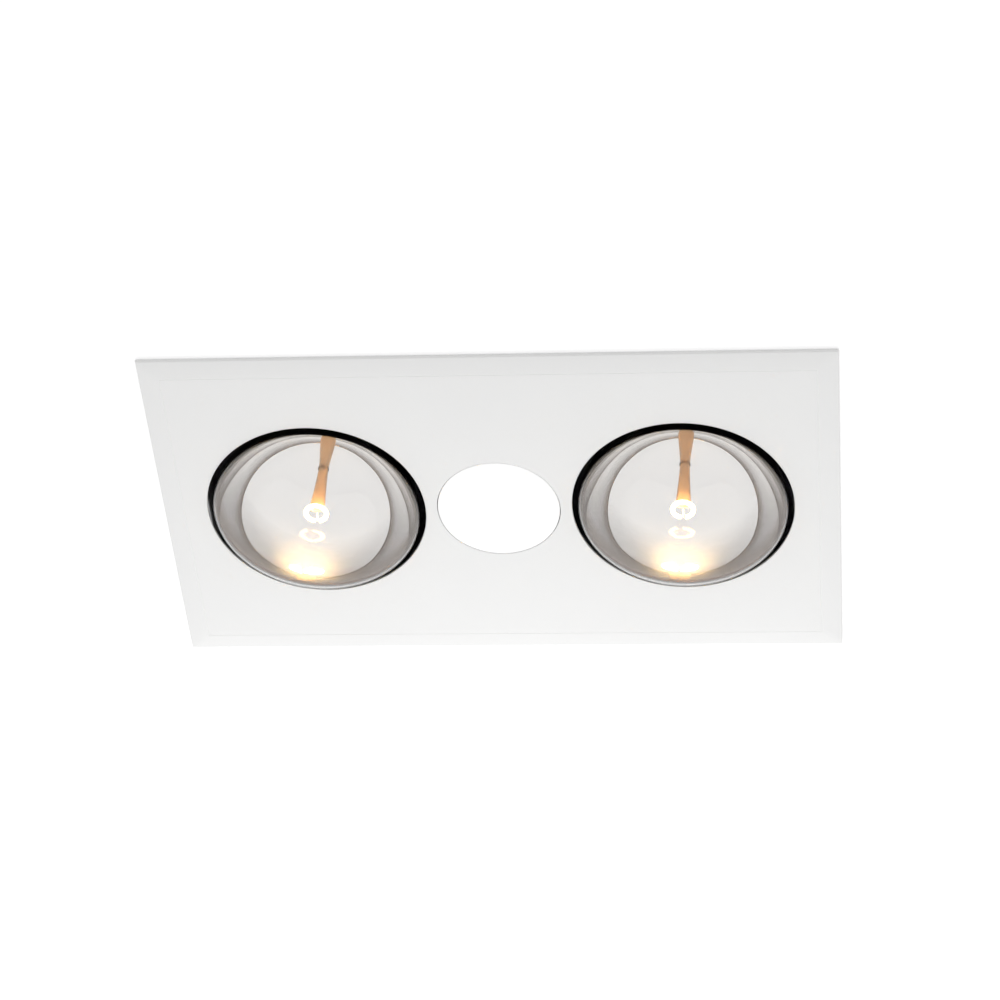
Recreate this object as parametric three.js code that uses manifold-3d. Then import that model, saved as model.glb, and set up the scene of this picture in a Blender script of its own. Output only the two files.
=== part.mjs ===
// Bathroom ceiling heater: two reflector heat lamps, a round LED light and an exhaust fan.
// Millimetres, +Z up. The ceiling's underside is z = 0, and the fascia hangs below it.
import * as THREE from 'three';
import { mergeVertices } from 'three/addons/utils/BufferGeometryUtils.js';
import Module from 'manifold-3d';

const wasm = await Module();
wasm.setup();

// Shared clearances
const seat = 0.3;
const overrun = 1;
const runningGap = 4;

// Fascia
const fasciaLength = 406;
const fasciaWidth = 234.5;
const fasciaDepth = 4;
const fasciaEdge = 2.4;
const fasciaBorder = 12;
const fasciaWall = 1.6;
const lampHoleGap = 3.5;
const lightHoleGap = 0.4;
const holeBridge = 7;
const tongueWidth = 8;
const tongueThickness = 2.4;
const tongueHeight = 24;
const tongueEndInset = 13;
const tongueSideInset = 10;

// Spring clips for the fascia's tongues
const clipThickness = 0.6;
const clipBottom = 6;
const clipHeadroom = 4;

// Steel box with its ceiling flange
const housingLength = 352;
const housingWidth = 196;
const housingHeight = 180;
const sheet = 0.8;
const flangeEndReach = 21;
const flangeSideReach = 13;
const earReach = 13;
const earWidth = 16;
const earHeight = 50;
const wireHoleDiameter = 12;

// LED light
const lensDiameter = 73.2;
const lensThickness = 1.8;
const lensSkirtWall = 1.6;
const lensSkirtTop = 7.8;
const boardDiameter = 66;
const boardThickness = 1.6;
const ledRingDiameter = 44;
const ledCount = 12;
const ledSize = 3;
const ledHeight = 0.7;
const sinkPlate = 2;
const sinkFinHeight = 5;
const sinkFinWall = 2;
const sinkBossDiameter = 16;
const strapThickness = 1.2;
const ledStrapWidth = 30;
const ledStrapFoot = 12;
const driverLength = 84;
const driverWidth = 26;
const driverHeight = 22;
const driverCorner = 3;

// Heat lamp
const lampDiameter = 125;
const lampShoulderDrop = 1;
const lampDomeDepth = 16;
const glassWall = 1;
const bowlHeight = 71;
const bowlShoulder = 27;
const bowlWaistHeight = 49;
const bowlWaistDiameter = 68;
const neckDiameter = 40;
const neckHeight = 30;
const neckTaper = 14;
const neckEndDiameter = 25.2;
const neckEndHeight = 8;
const capWall = 0.8;
const cementGap = 0.4;
const threadDiameter = 26.4;
const threadDepth = 0.85;
const threadPitch = 3.63;
const threadTurns = 5;
const threadCrestShares = [1 / 3, 2 / 3];
const capRoofHeight = 1.6;
const capHoleDiameter = 14;
const contactDiameter = 9.2;
const contactPlugHeight = 4;
const contactConeHeight = 2.5;
const contactTipHeight = 1.6;
const contactTipDiameter = 6.2;
const contactTipEdge = 0.6;
const stemDiameter = 9;
const stemFlareHeight = 8;
const stemButtonDiameter = 16.6;
const stemButtonHeight = 1.6;
const filamentDrop = 2;
const filamentRingDiameter = 14;
const filamentDiameter = 2.4;
const filamentOpening = 60;
const supportWireDiameter = 1.2;
const supportWireCount = 5;
const filamentRise = 9;

// Lampholder
const holderDiameter = 40;
const holderHeight = 34;
const holderCavityDiameter = 29;
const holderRoof = 4;
const holderRimGap = 2;
const sleeveWall = 0.5;
const sleeveDiameter = 28.4;
const sleeveHeight = 23;
const sleeveLip = 4.5;
const tongueSpringWidth = 8;
const tongueSpringThickness = 0.6;
const tongueSpringLength = 18;
const tongueSpringTip = 3;
const holderStrapWidth = 30;
const holderStrapLength = 50;
const holderStrapFoot = 12;

// Fan
const fanBottom = 80;
const scrollWall = 1.6;
const scrollPlate = 1.2;
const scrollHeight = 54;
const scrollStartRadius = 57;
const scrollEndRadius = 81;
const scrollStartAngle = 60;
const outletWidth = 58;
const outletHeight = 50;
const scrollShaftHoleDiameter = 10;
const mouthDiameter = 74;
const mouthWall = 1.2;
const mouthLip = 6;
const mouthFlare = 2;
const impellerDiameter = 102;
const bladeChord = 11;
const bladeThickness = 1;
const bladeCount = 24;
const bladeTilt = 30;
const impellerPlate = 1.4;
const hubDiameter = 18;
const hubHeight = 14;
const fanStrapWidth = 90;
const fanStrapFoot = 12;

// Motor
const shaftDiameter = 6;
const bushDiameter = 15.4;
const bushHeight = 7;
const motorDiameter = 64;
const motorHeight = 36;
const motorWall = 1.2;
const motorFlangeDiameter = 80;
const motorFlangeThickness = 1.6;
const motorBossWall = 1.4;
const statorHeight = 18;
const statorBoreDiameter = 38;
const statorRise = 8;
const coilHeight = 4;
const coilWall = 8;
const rotorGap = 0.6;
const motorScrewCircle = 72;
const motorScrewDiameter = 3.4;
const screwHeadDiameter = 6.4;
const screwHeadHeight = 2;
const screwSlotWidth = 0.9;
const screwSlotDepth = 0.6;

// Duct outlet and its backdraught flap
const spigotDiameter = 97;
const spigotWall = 1.5;
const spigotLength = 62;
const spigotPlateThickness = 1.5;
const spigotPlateMargin = 6;
const flapSeatWall = 2;
const flapThickness = 1.2;
const flapWidth = 64;
const flapOverlap = 4.7;
const flapKnuckleDiameter = 4.4;
const flapPinDiameter = 2.4;
const flapEarThickness = 1.5;
const flapLeafSetback = 0.4;

// Terminal box on the roof
const terminalEndInset = 22;
const terminalSideInset = 12;
const terminalLength = 84;
const terminalWidth = 52;
const terminalHeight = 28;
const terminalWall = 1.6;
const terminalHoleOffset = 28;
const blockLength = 44;
const blockWidth = 18;
const blockHeight = 14;
const blockOffset = 8;
const blockPoles = 4;
const blockHoleDiameter = 4;
const blockWayHeight = 4.7;
const blockScrewDepth = 4.7;
const grommetDiameter = 18;
const grommetBore = 8;
const grommetNeckDiameter = 13;
const grommetFlange = 3;
const grommetLip = 1.5;
const grommetChamfer = 1;
const coverPostDiameter = 9;
const coverPostInset = 8;
const coverScrewDiameter = 3.2;
const coverScrewLength = 14;

// Ceiling clamps
const clampInset = 6.5;
const clampSideSpacing = 124;
const clampScrewDiameter = 5;
const clampScrewLength = 54;
const clampHeadDiameter = 9.2;
const clampHeadHeight = 1;
const clampSlotDepth = 0.5;
const wingHeight = 13;
const wingThickness = 3;
const wingWidth = 8;
const wingReach = 19.5;
const wingHubDiameter = 10;
const wingHubHeight = 10;
const wingLip = 2;

// Facets
const roundSegments = 20;
const smallSegments = 12;
const holeSegments = 64;
const lensSegments = 40;
const glassSegments = 32;
const capSegments = 16;
const outerSteps = 6;
const innerSteps = 4;
const wireSides = 8;
const arcSteps = 18;

// Places and levels that follow from the sizes above
const lampHoleDiameter = lampDiameter + 2 * lampHoleGap;
const lightHoleDiameter = lensDiameter + 2 * lightHoleGap;
const lampSpacing = lampHoleDiameter + lightHoleDiameter + 2 * holeBridge;
const terminalX = terminalEndInset + terminalLength / 2 - housingLength / 2;
const terminalY = terminalSideInset + terminalWidth / 2 - housingWidth / 2;
const flangeUnderside = -sheet;
const fasciaFace = -fasciaDepth;
const fasciaInside = fasciaFace + fasciaWall;
const roofInside = housingHeight - sheet;
const wallInsideX = housingLength / 2 - sheet;
const wallInsideY = housingWidth / 2 - sheet;
const lampShoulder = fasciaFace - lampShoulderDrop;
const neckStart = lampShoulder + bowlHeight;
const neckTop = neckStart + neckHeight;
const glassEnd = neckTop + neckTaper + neckEndHeight;
const capBottom = glassEnd - neckEndHeight + seat;
const threadStart = glassEnd + seat;
const threadEnd = threadStart + threadPitch * threadTurns;
const capTop = threadEnd + capRoofHeight;
const contactTop = capTop + seat + contactConeHeight + contactTipHeight;
const holderBottom = threadStart + holderRimGap;
const holderTop = holderBottom + holderHeight;
const cavityTop = holderTop - holderRoof;
const scrollFloor = fanBottom + scrollPlate;
const scrollCeiling = scrollFloor + seat + scrollHeight;
const scrollTop = scrollCeiling + scrollWall;
const impellerBottom = scrollFloor + runningGap;
const impellerTop = scrollCeiling - runningGap;
const discBottom = impellerTop - impellerPlate;
const hubBottom = discBottom - hubHeight;
const fanStrapBottom = scrollTop + seat;
const motorBottom = fanStrapBottom + strapThickness + seat;
const motorTop = motorBottom + motorHeight;
const statorBottom = motorBottom + statorRise;
const sinkBottom = lensSkirtTop + seat;
const ledStrapBottom = sinkBottom + sinkPlate + sinkFinHeight + seat;
const outletRight = scrollEndRadius;
const outletX = outletRight - outletWidth / 2;
const outletZ = (scrollFloor + seat + scrollCeiling) / 2;

// Finishes
const finishes = {
  whiteEnamel: { color: 0xf2f2f0, roughness: 0.35, metalness: 0 },
  opal: { color: 0xffffff, roughness: 0.45, metalness: 0 },
  galvanised: { color: 0xa9adb0, roughness: 0.5, metalness: 0.9 },
  springSteel: { color: 0x8b8f94, roughness: 0.35, metalness: 1 },
  aluminium: { color: 0xc4c7ca, roughness: 0.4, metalness: 1 },
  glass: { color: 0xf4f1ea, roughness: 0.05, metalness: 0.1 },
  amberGlass: { color: 0xd8964a, roughness: 0.15, metalness: 0 },
  tungsten: { color: 0xffd98a, roughness: 0.6, metalness: 0.5 },
  nickel: { color: 0xc9c4b8, roughness: 0.3, metalness: 1 },
  brass: { color: 0xb9924a, roughness: 0.35, metalness: 1 },
  blackGlaze: { color: 0x23211f, roughness: 0.3, metalness: 0 },
  ceramic: { color: 0xe9e4d8, roughness: 0.4, metalness: 0 },
  circuitBoard: { color: 0xe6e8e4, roughness: 0.6, metalness: 0 },
  greyPlastic: { color: 0x5d6165, roughness: 0.55, metalness: 0 },
  blackPlastic: { color: 0x1e1f21, roughness: 0.5, metalness: 0 },
  palePlastic: { color: 0xdad9d4, roughness: 0.5, metalness: 0 },
  laminations: { color: 0x55585c, roughness: 0.5, metalness: 0.8 },
  copper: { color: 0xb0602f, roughness: 0.4, metalness: 0.9 },
  bronze: { color: 0x9c7640, roughness: 0.45, metalness: 0.9 },
};

const heater = new THREE.Group();

// A closed geometry as a solid, with its shared corners merged
function toSolid(geometry) {
  const source = geometry.index ? geometry.toNonIndexed() : geometry;
  const bare = new THREE.BufferGeometry();
  bare.setAttribute('position', source.getAttribute('position'));
  const merged = mergeVertices(bare);
  return new wasm.Manifold(new wasm.Mesh({
    numProp: 3,
    vertProperties: merged.getAttribute('position').array,
    triVerts: new Uint32Array(merged.index.array),
  }));
}

// A solid's triangles as a geometry
function toGeometry(solid) {
  const mesh = solid.getMesh();
  const geometry = new THREE.BufferGeometry();
  geometry.setAttribute('position', new THREE.BufferAttribute(mesh.vertProperties, 3));
  geometry.setIndex(new THREE.BufferAttribute(mesh.triVerts, 1));
  geometry.computeVertexNormals();
  return geometry;
}

// Adds one named piece at a place
function addPiece(name, finish, solid, x = 0, y = 0, z = 0) {
  const mesh = new THREE.Mesh(toGeometry(solid), new THREE.MeshStandardMaterial(finishes[finish]));
  mesh.name = name;
  mesh.position.set(x, y, z);
  heater.add(mesh);
  return mesh;
}

// Two values, the lower one first
function inOrder(first, second) {
  return [Math.min(first, second), Math.max(first, second)];
}

function joinAll(solids) {
  return solids.reduce((whole, next) => whole.add(next));
}

function cutAll(solid, cutters) {
  return cutters.reduce((left, cutter) => left.subtract(cutter), solid);
}

// A block between two corners
function block(xLow, xHigh, yLow, yHigh, zLow, zHigh) {
  const geometry = new THREE.BoxGeometry(xHigh - xLow, yHigh - yLow, zHigh - zLow);
  geometry.translate((xLow + xHigh) / 2, (yLow + yHigh) / 2, (zLow + zHigh) / 2);
  return toSolid(geometry);
}

// A block centred on x and y
function slab(x, y, length, width, zLow, zHigh) {
  return block(x - length / 2, x + length / 2, y - width / 2, y + width / 2, zLow, zHigh);
}

// A turned solid about +Z from [radius, height] points, which run up the outside and down the inside
function turnedGeometry(profile, segments) {
  const closed = profile[0][0] > 0 ? [...profile, profile[0]] : profile;
  const points = closed.map(([radius, height]) => new THREE.Vector2(radius, height));
  return new THREE.LatheGeometry(points, segments).rotateX(Math.PI / 2);
}

function turned(profile, segments = roundSegments) {
  return toSolid(turnedGeometry(profile, segments));
}

function rodProfile(diameter, zLow, zHigh) {
  return [[0, zLow], [diameter / 2, zLow], [diameter / 2, zHigh], [0, zHigh]];
}

function rod(x, y, diameter, zLow, zHigh, segments = roundSegments) {
  return toSolid(turnedGeometry(rodProfile(diameter, zLow, zHigh), segments).translate(x, y, 0));
}

function tube(bore, diameter, zLow, zHigh, segments = roundSegments) {
  const inner = bore / 2;
  const outer = diameter / 2;
  return turned([[inner, zLow], [outer, zLow], [outer, zHigh], [inner, zHigh]], segments);
}

// A rod along X or along Y
function rodAlongX(diameter, xLow, xHigh, y, z, segments = smallSegments) {
  const geometry = turnedGeometry(rodProfile(diameter, xLow, xHigh), segments);
  return toSolid(geometry.rotateY(Math.PI / 2).translate(0, y, z));
}

function rodAlongY(diameter, yLow, yHigh, x, z, segments = roundSegments) {
  const geometry = turnedGeometry(rodProfile(diameter, -yHigh, -yLow), segments);
  return toSolid(geometry.rotateX(Math.PI / 2).translate(x, 0, z));
}

// A flat outline of [x, y] points raised from one level to another
function raised(points, zLow, zHigh) {
  const shape = new THREE.Shape(points.map(([x, y]) => new THREE.Vector2(x, y)));
  const geometry = new THREE.ExtrudeGeometry(shape, { depth: zHigh - zLow, bevelEnabled: false });
  return toSolid(geometry.translate(0, 0, zLow));
}

// An upright outline of [x, z] points, given its width along Y about a centre
function upright(points, yCentre, width) {
  const shape = new THREE.Shape(points.map(([x, z]) => new THREE.Vector2(x, z)));
  const geometry = new THREE.ExtrudeGeometry(shape, { depth: width, bevelEnabled: false });
  return toSolid(geometry.rotateX(Math.PI / 2).translate(0, yCentre + width / 2, 0));
}

// A rectangular block whose lower edge slopes in to a smaller flat face
function slopedBlock(length, width, border, zTop, zEdge, zFace) {
  const rings = [
    [length / 2, width / 2, zTop],
    [length / 2, width / 2, zEdge],
    [length / 2 - border, width / 2 - border, zFace],
  ];
  const positions = rings.flatMap(([x, y, z]) => [-x, -y, z, x, -y, z, x, y, z, -x, y, z]);
  const sides = [0, 1, 2, 3];
  const bands = [0, 1].flatMap((ring) => sides.flatMap((side) => {
    const a = ring * 4 + side;
    const b = ring * 4 + (side + 1) % 4;
    return [a, a + 4, b + 4, a, b + 4, b];
  }));
  const geometry = new THREE.BufferGeometry();
  geometry.setAttribute('position', new THREE.Float32BufferAttribute(positions, 3));
  geometry.setIndex([0, 1, 2, 0, 2, 3, ...bands, 8, 10, 9, 8, 11, 10]);
  return toSolid(geometry);
}

// A strap across the box along Y, with a foot turned up against each long wall
function crossStrap(width, zLow, footHeight) {
  const end = wallInsideY - seat;
  const feet = [-1, 1].map((side) => {
    const faces = inOrder(side * end, side * (end - strapThickness));
    return block(-width / 2, width / 2, faces[0], faces[1], zLow, zLow + footHeight);
  });
  return joinAll([slab(0, 0, width, 2 * end, zLow, zLow + strapThickness), ...feet]);
}

// A slotted screw, head up or head down, whose head seats at one level and whose shank ends at another
function slottedScrew(shank, head, headHeight, slotDepth, headLevel, tipLevel) {
  const up = Math.sign(headLevel - tipLevel);
  const headEnd = headLevel + up * headHeight;
  const slotFloor = headEnd - up * slotDepth;
  const ends = inOrder(headLevel, headEnd);
  const shankEnds = inOrder(tipLevel, headLevel + up * headHeight / 2);
  const slotEnds = inOrder(slotFloor, headEnd + up * overrun);
  const body = rod(0, 0, head, ends[0], ends[1], smallSegments)
    .add(rod(0, 0, shank, shankEnds[0], shankEnds[1], smallSegments));
  return body.subtract(slab(0, 0, head + overrun, screwSlotWidth, slotEnds[0], slotEnds[1]));
}

const tongueX = housingLength / 2 - tongueEndInset;
const tongueY = housingWidth / 2 - tongueSideInset;
const corners = [[1, 1], [-1, 1], [-1, -1], [1, -1]];
const lampSides = [['left', -1], ['right', 1]];
const lampX = lampSpacing / 2;

// Fascia: a shallow tray with a sloping border, three round holes and four tongues
function makeFascia() {
  const outside = slopedBlock(fasciaLength, fasciaWidth, fasciaBorder, 0, -fasciaEdge, fasciaFace);
  const inside = slopedBlock(
    fasciaLength - 2 * fasciaWall,
    fasciaWidth - 2 * fasciaWall,
    fasciaBorder,
    overrun,
    fasciaWall - fasciaEdge,
    fasciaInside,
  );
  const holes = lampSides.map(([, side]) => (
    rod(side * lampX, 0, lampHoleDiameter, fasciaFace - overrun, overrun, holeSegments)
  ));
  const lightHole = rod(0, 0, lightHoleDiameter, fasciaFace - overrun, overrun, lensSegments);
  const tray = cutAll(outside, [inside, ...holes, lightHole]);
  const tongues = corners.map(([sx, sy]) => slab(
    sx * tongueX,
    sy * tongueY,
    tongueWidth,
    tongueThickness,
    fasciaInside - fasciaWall / 2,
    tongueHeight,
  ));
  return joinAll([tray, ...tongues]);
}

// Spring clip: a pad on the long wall, a bridge and two leaves that grip one tongue
function makeClip(sy) {
  const top = tongueHeight + clipHeadroom;
  const pad = wallInsideY - seat;
  const grip = tongueThickness / 2 + seat;
  const leaves = [
    [pad - clipThickness, pad],
    [tongueY + grip, tongueY + grip + clipThickness],
    [tongueY - grip - clipThickness, tongueY - grip],
  ];
  const strips = leaves.map(([near, far]) => {
    const faces = inOrder(sy * near, sy * far);
    return block(-tongueWidth / 2, tongueWidth / 2, faces[0], faces[1], clipBottom, top);
  });
  const span = inOrder(sy * (tongueY - grip - clipThickness), sy * pad);
  const bridge = block(-tongueWidth / 2, tongueWidth / 2, span[0], span[1], top - clipThickness, top);
  return joinAll([...strips, bridge]);
}

const clampX = housingLength / 2 + clampInset;
const clampY = clampSideSpacing / 2;
const clampHole = clampScrewDiameter + 2 * seat;

// Housing: a deep open box with a flange under the ceiling, ears for the clamp screws and an air window
function makeHousing() {
  const box = slab(0, 0, housingLength, housingWidth, flangeUnderside, housingHeight);
  const flangeLength = housingLength + 2 * flangeEndReach;
  const flangeWidth = housingWidth + 2 * flangeSideReach;
  const flange = slab(0, 0, flangeLength, flangeWidth, flangeUnderside, 0);
  const ears = corners.map(([sx, sy]) => slab(
    sx * (housingLength / 2 + earReach / 2 - sheet / 2),
    sy * clampY,
    earReach + sheet,
    earWidth,
    earHeight,
    earHeight + strapThickness,
  ));
  const cavity = slab(0, 0, 2 * wallInsideX, 2 * wallInsideY, flangeUnderside - overrun, roofInside);
  const screwHoles = corners.map(([sx, sy]) => rod(
    sx * clampX,
    sy * clampY,
    clampHole,
    flangeUnderside - overrun,
    earHeight + strapThickness + overrun,
    smallSegments,
  ));
  const wireHole = rod(
    terminalX + terminalHoleOffset,
    terminalY,
    wireHoleDiameter,
    roofInside - overrun,
    housingHeight + overrun,
    smallSegments,
  );
  const window = block(
    outletX - outletWidth / 2,
    outletX + outletWidth / 2,
    wallInsideY - overrun,
    housingWidth / 2 + overrun,
    outletZ - outletHeight / 2,
    outletZ + outletHeight / 2,
  );
  return cutAll(joinAll([box, flange, ...ears]), [cavity, ...screwHoles, wireHole, window]);
}

// LED light: an opal cup flush with the face, its board, heat sink, strap and driver
function makeLens() {
  const outer = lensDiameter / 2;
  const inner = outer - lensSkirtWall;
  const roof = fasciaFace + lensThickness;
  return turned([
    [0, fasciaFace], [outer, fasciaFace], [outer, lensSkirtTop],
    [inner, lensSkirtTop], [inner, roof], [0, roof],
  ], lensSegments);
}

function makeBoard() {
  const underside = lensSkirtTop - boardThickness;
  const leds = Array.from({ length: ledCount }, (_, index) => {
    const angle = index / ledCount * 2 * Math.PI;
    const x = ledRingDiameter / 2 * Math.cos(angle);
    const y = ledRingDiameter / 2 * Math.sin(angle);
    return slab(x, y, ledSize, ledSize, underside - ledHeight, underside + boardThickness / 2);
  });
  return joinAll([rod(0, 0, boardDiameter, underside, lensSkirtTop), ...leds]);
}

function makeHeatSink() {
  const plateTop = sinkBottom + sinkPlate;
  const finTop = plateTop + sinkFinHeight;
  const root = plateTop - sinkPlate / 2;
  return joinAll([
    rod(0, 0, lensDiameter, sinkBottom, plateTop),
    tube(lensDiameter - 2 * sinkFinWall, lensDiameter, root, finTop),
    tube(lensDiameter / 2, lensDiameter / 2 + 2 * sinkFinWall, root, finTop),
    rod(0, 0, sinkBossDiameter, root, finTop),
  ]);
}

function makeDriver() {
  const bottom = ledStrapBottom + strapThickness + seat;
  const x = driverWidth / 2;
  const y = driverLength / 2;
  const outline = [
    [-x + driverCorner, -y], [x - driverCorner, -y], [x, -y + driverCorner], [x, y - driverCorner],
    [x - driverCorner, y], [-x + driverCorner, y], [-x, y - driverCorner], [-x, -y + driverCorner],
  ];
  return raised(outline, bottom, bottom + driverHeight);
}

// Lamp envelope: an elliptical dome below, a bowl curve above it, then a neck that tapers to the cap
function envelopeSide(wall, curveSteps) {
  const wide = lampDiameter / 2 - wall;
  const depth = lampDomeDepth - wall;
  const dome = Array.from({ length: curveSteps + 1 }, (_, step) => {
    const angle = step / curveSteps * Math.PI / 2;
    return [wide * Math.sin(angle), lampShoulder - depth * Math.cos(angle)];
  });
  dome[0][0] = 0;
  const neck = neckDiameter / 2 - wall;
  const bowl = new THREE.CubicBezierCurve(
    new THREE.Vector2(wide, lampShoulder),
    new THREE.Vector2(wide, lampShoulder + bowlShoulder),
    new THREE.Vector2(bowlWaistDiameter / 2 - wall, lampShoulder + bowlWaistHeight),
    new THREE.Vector2(neck, neckStart),
  ).getPoints(curveSteps).slice(1).map((point) => [point.x, point.y]);
  const neckEnd = neckEndDiameter / 2 - wall;
  return [...dome, ...bowl, [neck, neckTop], [neckEnd, neckTop + neckTaper], [neckEnd, glassEnd]];
}

function makeGlass() {
  const outside = envelopeSide(0, outerSteps);
  const inside = envelopeSide(glassWall, innerSteps).reverse();
  return turned([...outside, ...inside], glassSegments);
}

// Glass stem: a flare that fills the neck's end, a tapering rod and a button with the support wires
const filamentLevel = fasciaFace - filamentDrop;
const buttonBottom = filamentLevel + filamentRise;

function wireAngles() {
  const sweep = 360 - filamentOpening;
  return Array.from({ length: supportWireCount }, (_, index) => (
    (filamentOpening / 2 + sweep * index / (supportWireCount - 1)) * Math.PI / 180
  ));
}

function makeStem() {
  const flare = neckEndDiameter / 2 - glassWall - seat;
  const flareFloor = glassEnd - stemFlareHeight;
  const rodRadius = stemDiameter / 2;
  const buttonTop = buttonBottom + stemButtonHeight;
  const body = turned([
    [0, buttonBottom], [stemButtonDiameter / 2, buttonBottom], [stemButtonDiameter / 2, buttonTop],
    [rodRadius, buttonTop], [rodRadius, flareFloor], [flare, flareFloor + stemFlareHeight / 2],
    [flare, glassEnd], [0, glassEnd],
  ]);
  const wires = wireAngles().map((angle) => rod(
    filamentRingDiameter / 2 * Math.cos(angle),
    filamentRingDiameter / 2 * Math.sin(angle),
    supportWireDiameter,
    filamentLevel + filamentDiameter / 2 + seat,
    buttonBottom + stemButtonHeight / 2,
    smallSegments,
  ));
  return joinAll([body, ...wires]);
}

// Filament: an open ring of coiled wire, drawn as one round section carried along an arc
function makeFilament() {
  const radius = filamentRingDiameter / 2;
  const sweep = (360 - filamentOpening) * Math.PI / 180;
  const section = new THREE.Shape(Array.from({ length: wireSides }, (_, side) => {
    const angle = side / wireSides * 2 * Math.PI;
    return new THREE.Vector2(filamentDiameter / 2 * Math.cos(angle), filamentDiameter / 2 * Math.sin(angle));
  }));
  const path = new THREE.Curve();
  path.getPoint = (share, target = new THREE.Vector3()) => {
    const angle = filamentOpening / 2 * Math.PI / 180 + share * sweep;
    return target.set(radius * Math.cos(angle), radius * Math.sin(angle), filamentLevel);
  };
  const settings = { steps: arcSteps, bevelEnabled: false, extrudePath: path };
  return toSolid(new THREE.ExtrudeGeometry(section, settings));
}

// Screw cap: a skirt over the neck, then rounded threads, drawn as rings, and a roof with a hole
function makeCap() {
  const bore = neckEndDiameter / 2 + cementGap;
  const crest = threadDiameter / 2;
  const root = crest - threadDepth;
  const inner = root - capWall;
  const hole = capHoleDiameter / 2;
  const threads = Array.from({ length: threadTurns }, (_, turn) => {
    const start = threadStart + turn * threadPitch;
    return [[root, start], ...threadCrestShares.map((share) => [crest, start + share * threadPitch])];
  }).flat();
  return turned([
    [bore, capBottom], [bore + capWall, capBottom], [bore + capWall, threadStart - capWall],
    ...threads,
    [root, threadEnd], [hole + capWall, capTop], [hole, capTop], [hole, capTop - capWall],
    [hole + capWall, capTop - capWall], [inner, threadEnd - capWall], [inner, threadStart],
    [bore, threadStart - seat / 2],
  ], capSegments);
}

function makeLampContact() {
  const plug = capHoleDiameter / 2 - seat;
  const tip = contactDiameter / 2;
  const shoulder = capTop + seat;
  return turned([
    [0, shoulder - contactPlugHeight], [plug, shoulder - contactPlugHeight], [plug, shoulder],
    [tip, shoulder + contactConeHeight], [tip, contactTop - contactTipEdge],
    [contactTipDiameter / 2, contactTop], [0, contactTop],
  ]);
}

// Lampholder: a ceramic cup, its threaded sleeve, the spring tongue and the strap to the roof
function makeHolderBody() {
  const outer = holderDiameter / 2;
  const bore = holderCavityDiameter / 2;
  const chamfer = holderRimGap;
  return turned([
    [0, cavityTop], [bore, cavityTop], [bore, holderBottom], [outer - chamfer, holderBottom],
    [outer, holderBottom + chamfer], [outer, holderTop - chamfer], [outer - chamfer, holderTop],
    [0, holderTop],
  ]);
}

function makeSleeve() {
  const outer = sleeveDiameter / 2;
  const inner = outer - sleeveWall;
  const bottom = holderBottom + seat;
  const top = bottom + sleeveHeight;
  return turned([
    [inner, bottom], [outer, bottom], [outer, top], [inner - sleeveLip, top],
    [inner - sleeveLip, top - sleeveWall], [inner, top - sleeveWall],
  ]);
}

function makeHolderContact() {
  const top = cavityTop - seat;
  const low = contactTop + seat;
  const reach = tongueSpringLength / 2;
  const thick = tongueSpringThickness;
  return upright([
    [-reach, top], [-reach, top - thick], [reach - thick, top - thick], [-thick, low + thick],
    [-thick - tongueSpringTip, low + thick], [-thick - tongueSpringTip, low], [thick, low],
    [reach, top - thick],
    [reach, top],
  ], 0, tongueSpringWidth);
}

function makeHolderStrap() {
  const bottom = holderTop + seat;
  const top = roofInside - seat;
  const leg = holderStrapLength / 2;
  const thick = strapThickness;
  const foot = leg + holderStrapFoot;
  return upright([
    [-leg, bottom], [leg, bottom], [leg, top - thick], [foot, top - thick], [foot, top],
    [leg - thick, top], [leg - thick, bottom + thick], [-leg + thick, bottom + thick],
    [-leg + thick, top], [-foot, top], [-foot, top - thick], [-leg, top - thick],
  ], 0, holderStrapWidth);
}

// Fan casing outline: a spiral that opens evenly, then a straight outlet to the long wall
function scrollOutline(grow, end) {
  const start = scrollStartAngle * Math.PI / 180;
  const steps = roundSegments;
  const spiral = Array.from({ length: steps + 1 }, (_, step) => {
    const share = step / steps;
    const angle = start + share * (2 * Math.PI - start);
    const radius = scrollStartRadius + share * (scrollEndRadius - scrollStartRadius) + grow;
    return [radius * Math.cos(angle), radius * Math.sin(angle)];
  });
  const inner = outletRight - outletWidth - grow;
  return [...spiral, [outletRight + grow, end], [inner, end]];
}

const scrollEnd = wallInsideY - seat;

function makeScroll() {
  const body = raised(scrollOutline(scrollWall, scrollEnd), scrollFloor + seat, scrollTop);
  const cavity = raised(scrollOutline(0, scrollEnd + overrun), scrollFloor, scrollCeiling);
  const shaftHole = rod(0, 0, scrollShaftHoleDiameter, scrollCeiling - overrun, scrollTop + overrun);
  return cutAll(body, [cavity, shaftHole]);
}

function makeInletPlate() {
  const plate = raised(scrollOutline(scrollWall, scrollEnd), fanBottom, scrollFloor);
  const bore = mouthDiameter / 2;
  const hole = rod(0, 0, mouthDiameter + mouthWall, fanBottom - overrun, scrollFloor + overrun);
  const mouth = turned([
    [bore, fanBottom], [bore + mouthFlare, fanBottom - mouthFlare],
    [bore + mouthFlare + mouthWall, fanBottom - mouthFlare], [bore + mouthWall, fanBottom],
    [bore + mouthWall, scrollFloor + mouthLip], [bore, scrollFloor + mouthLip],
  ]);
  return plate.subtract(hole).add(mouth);
}

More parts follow.
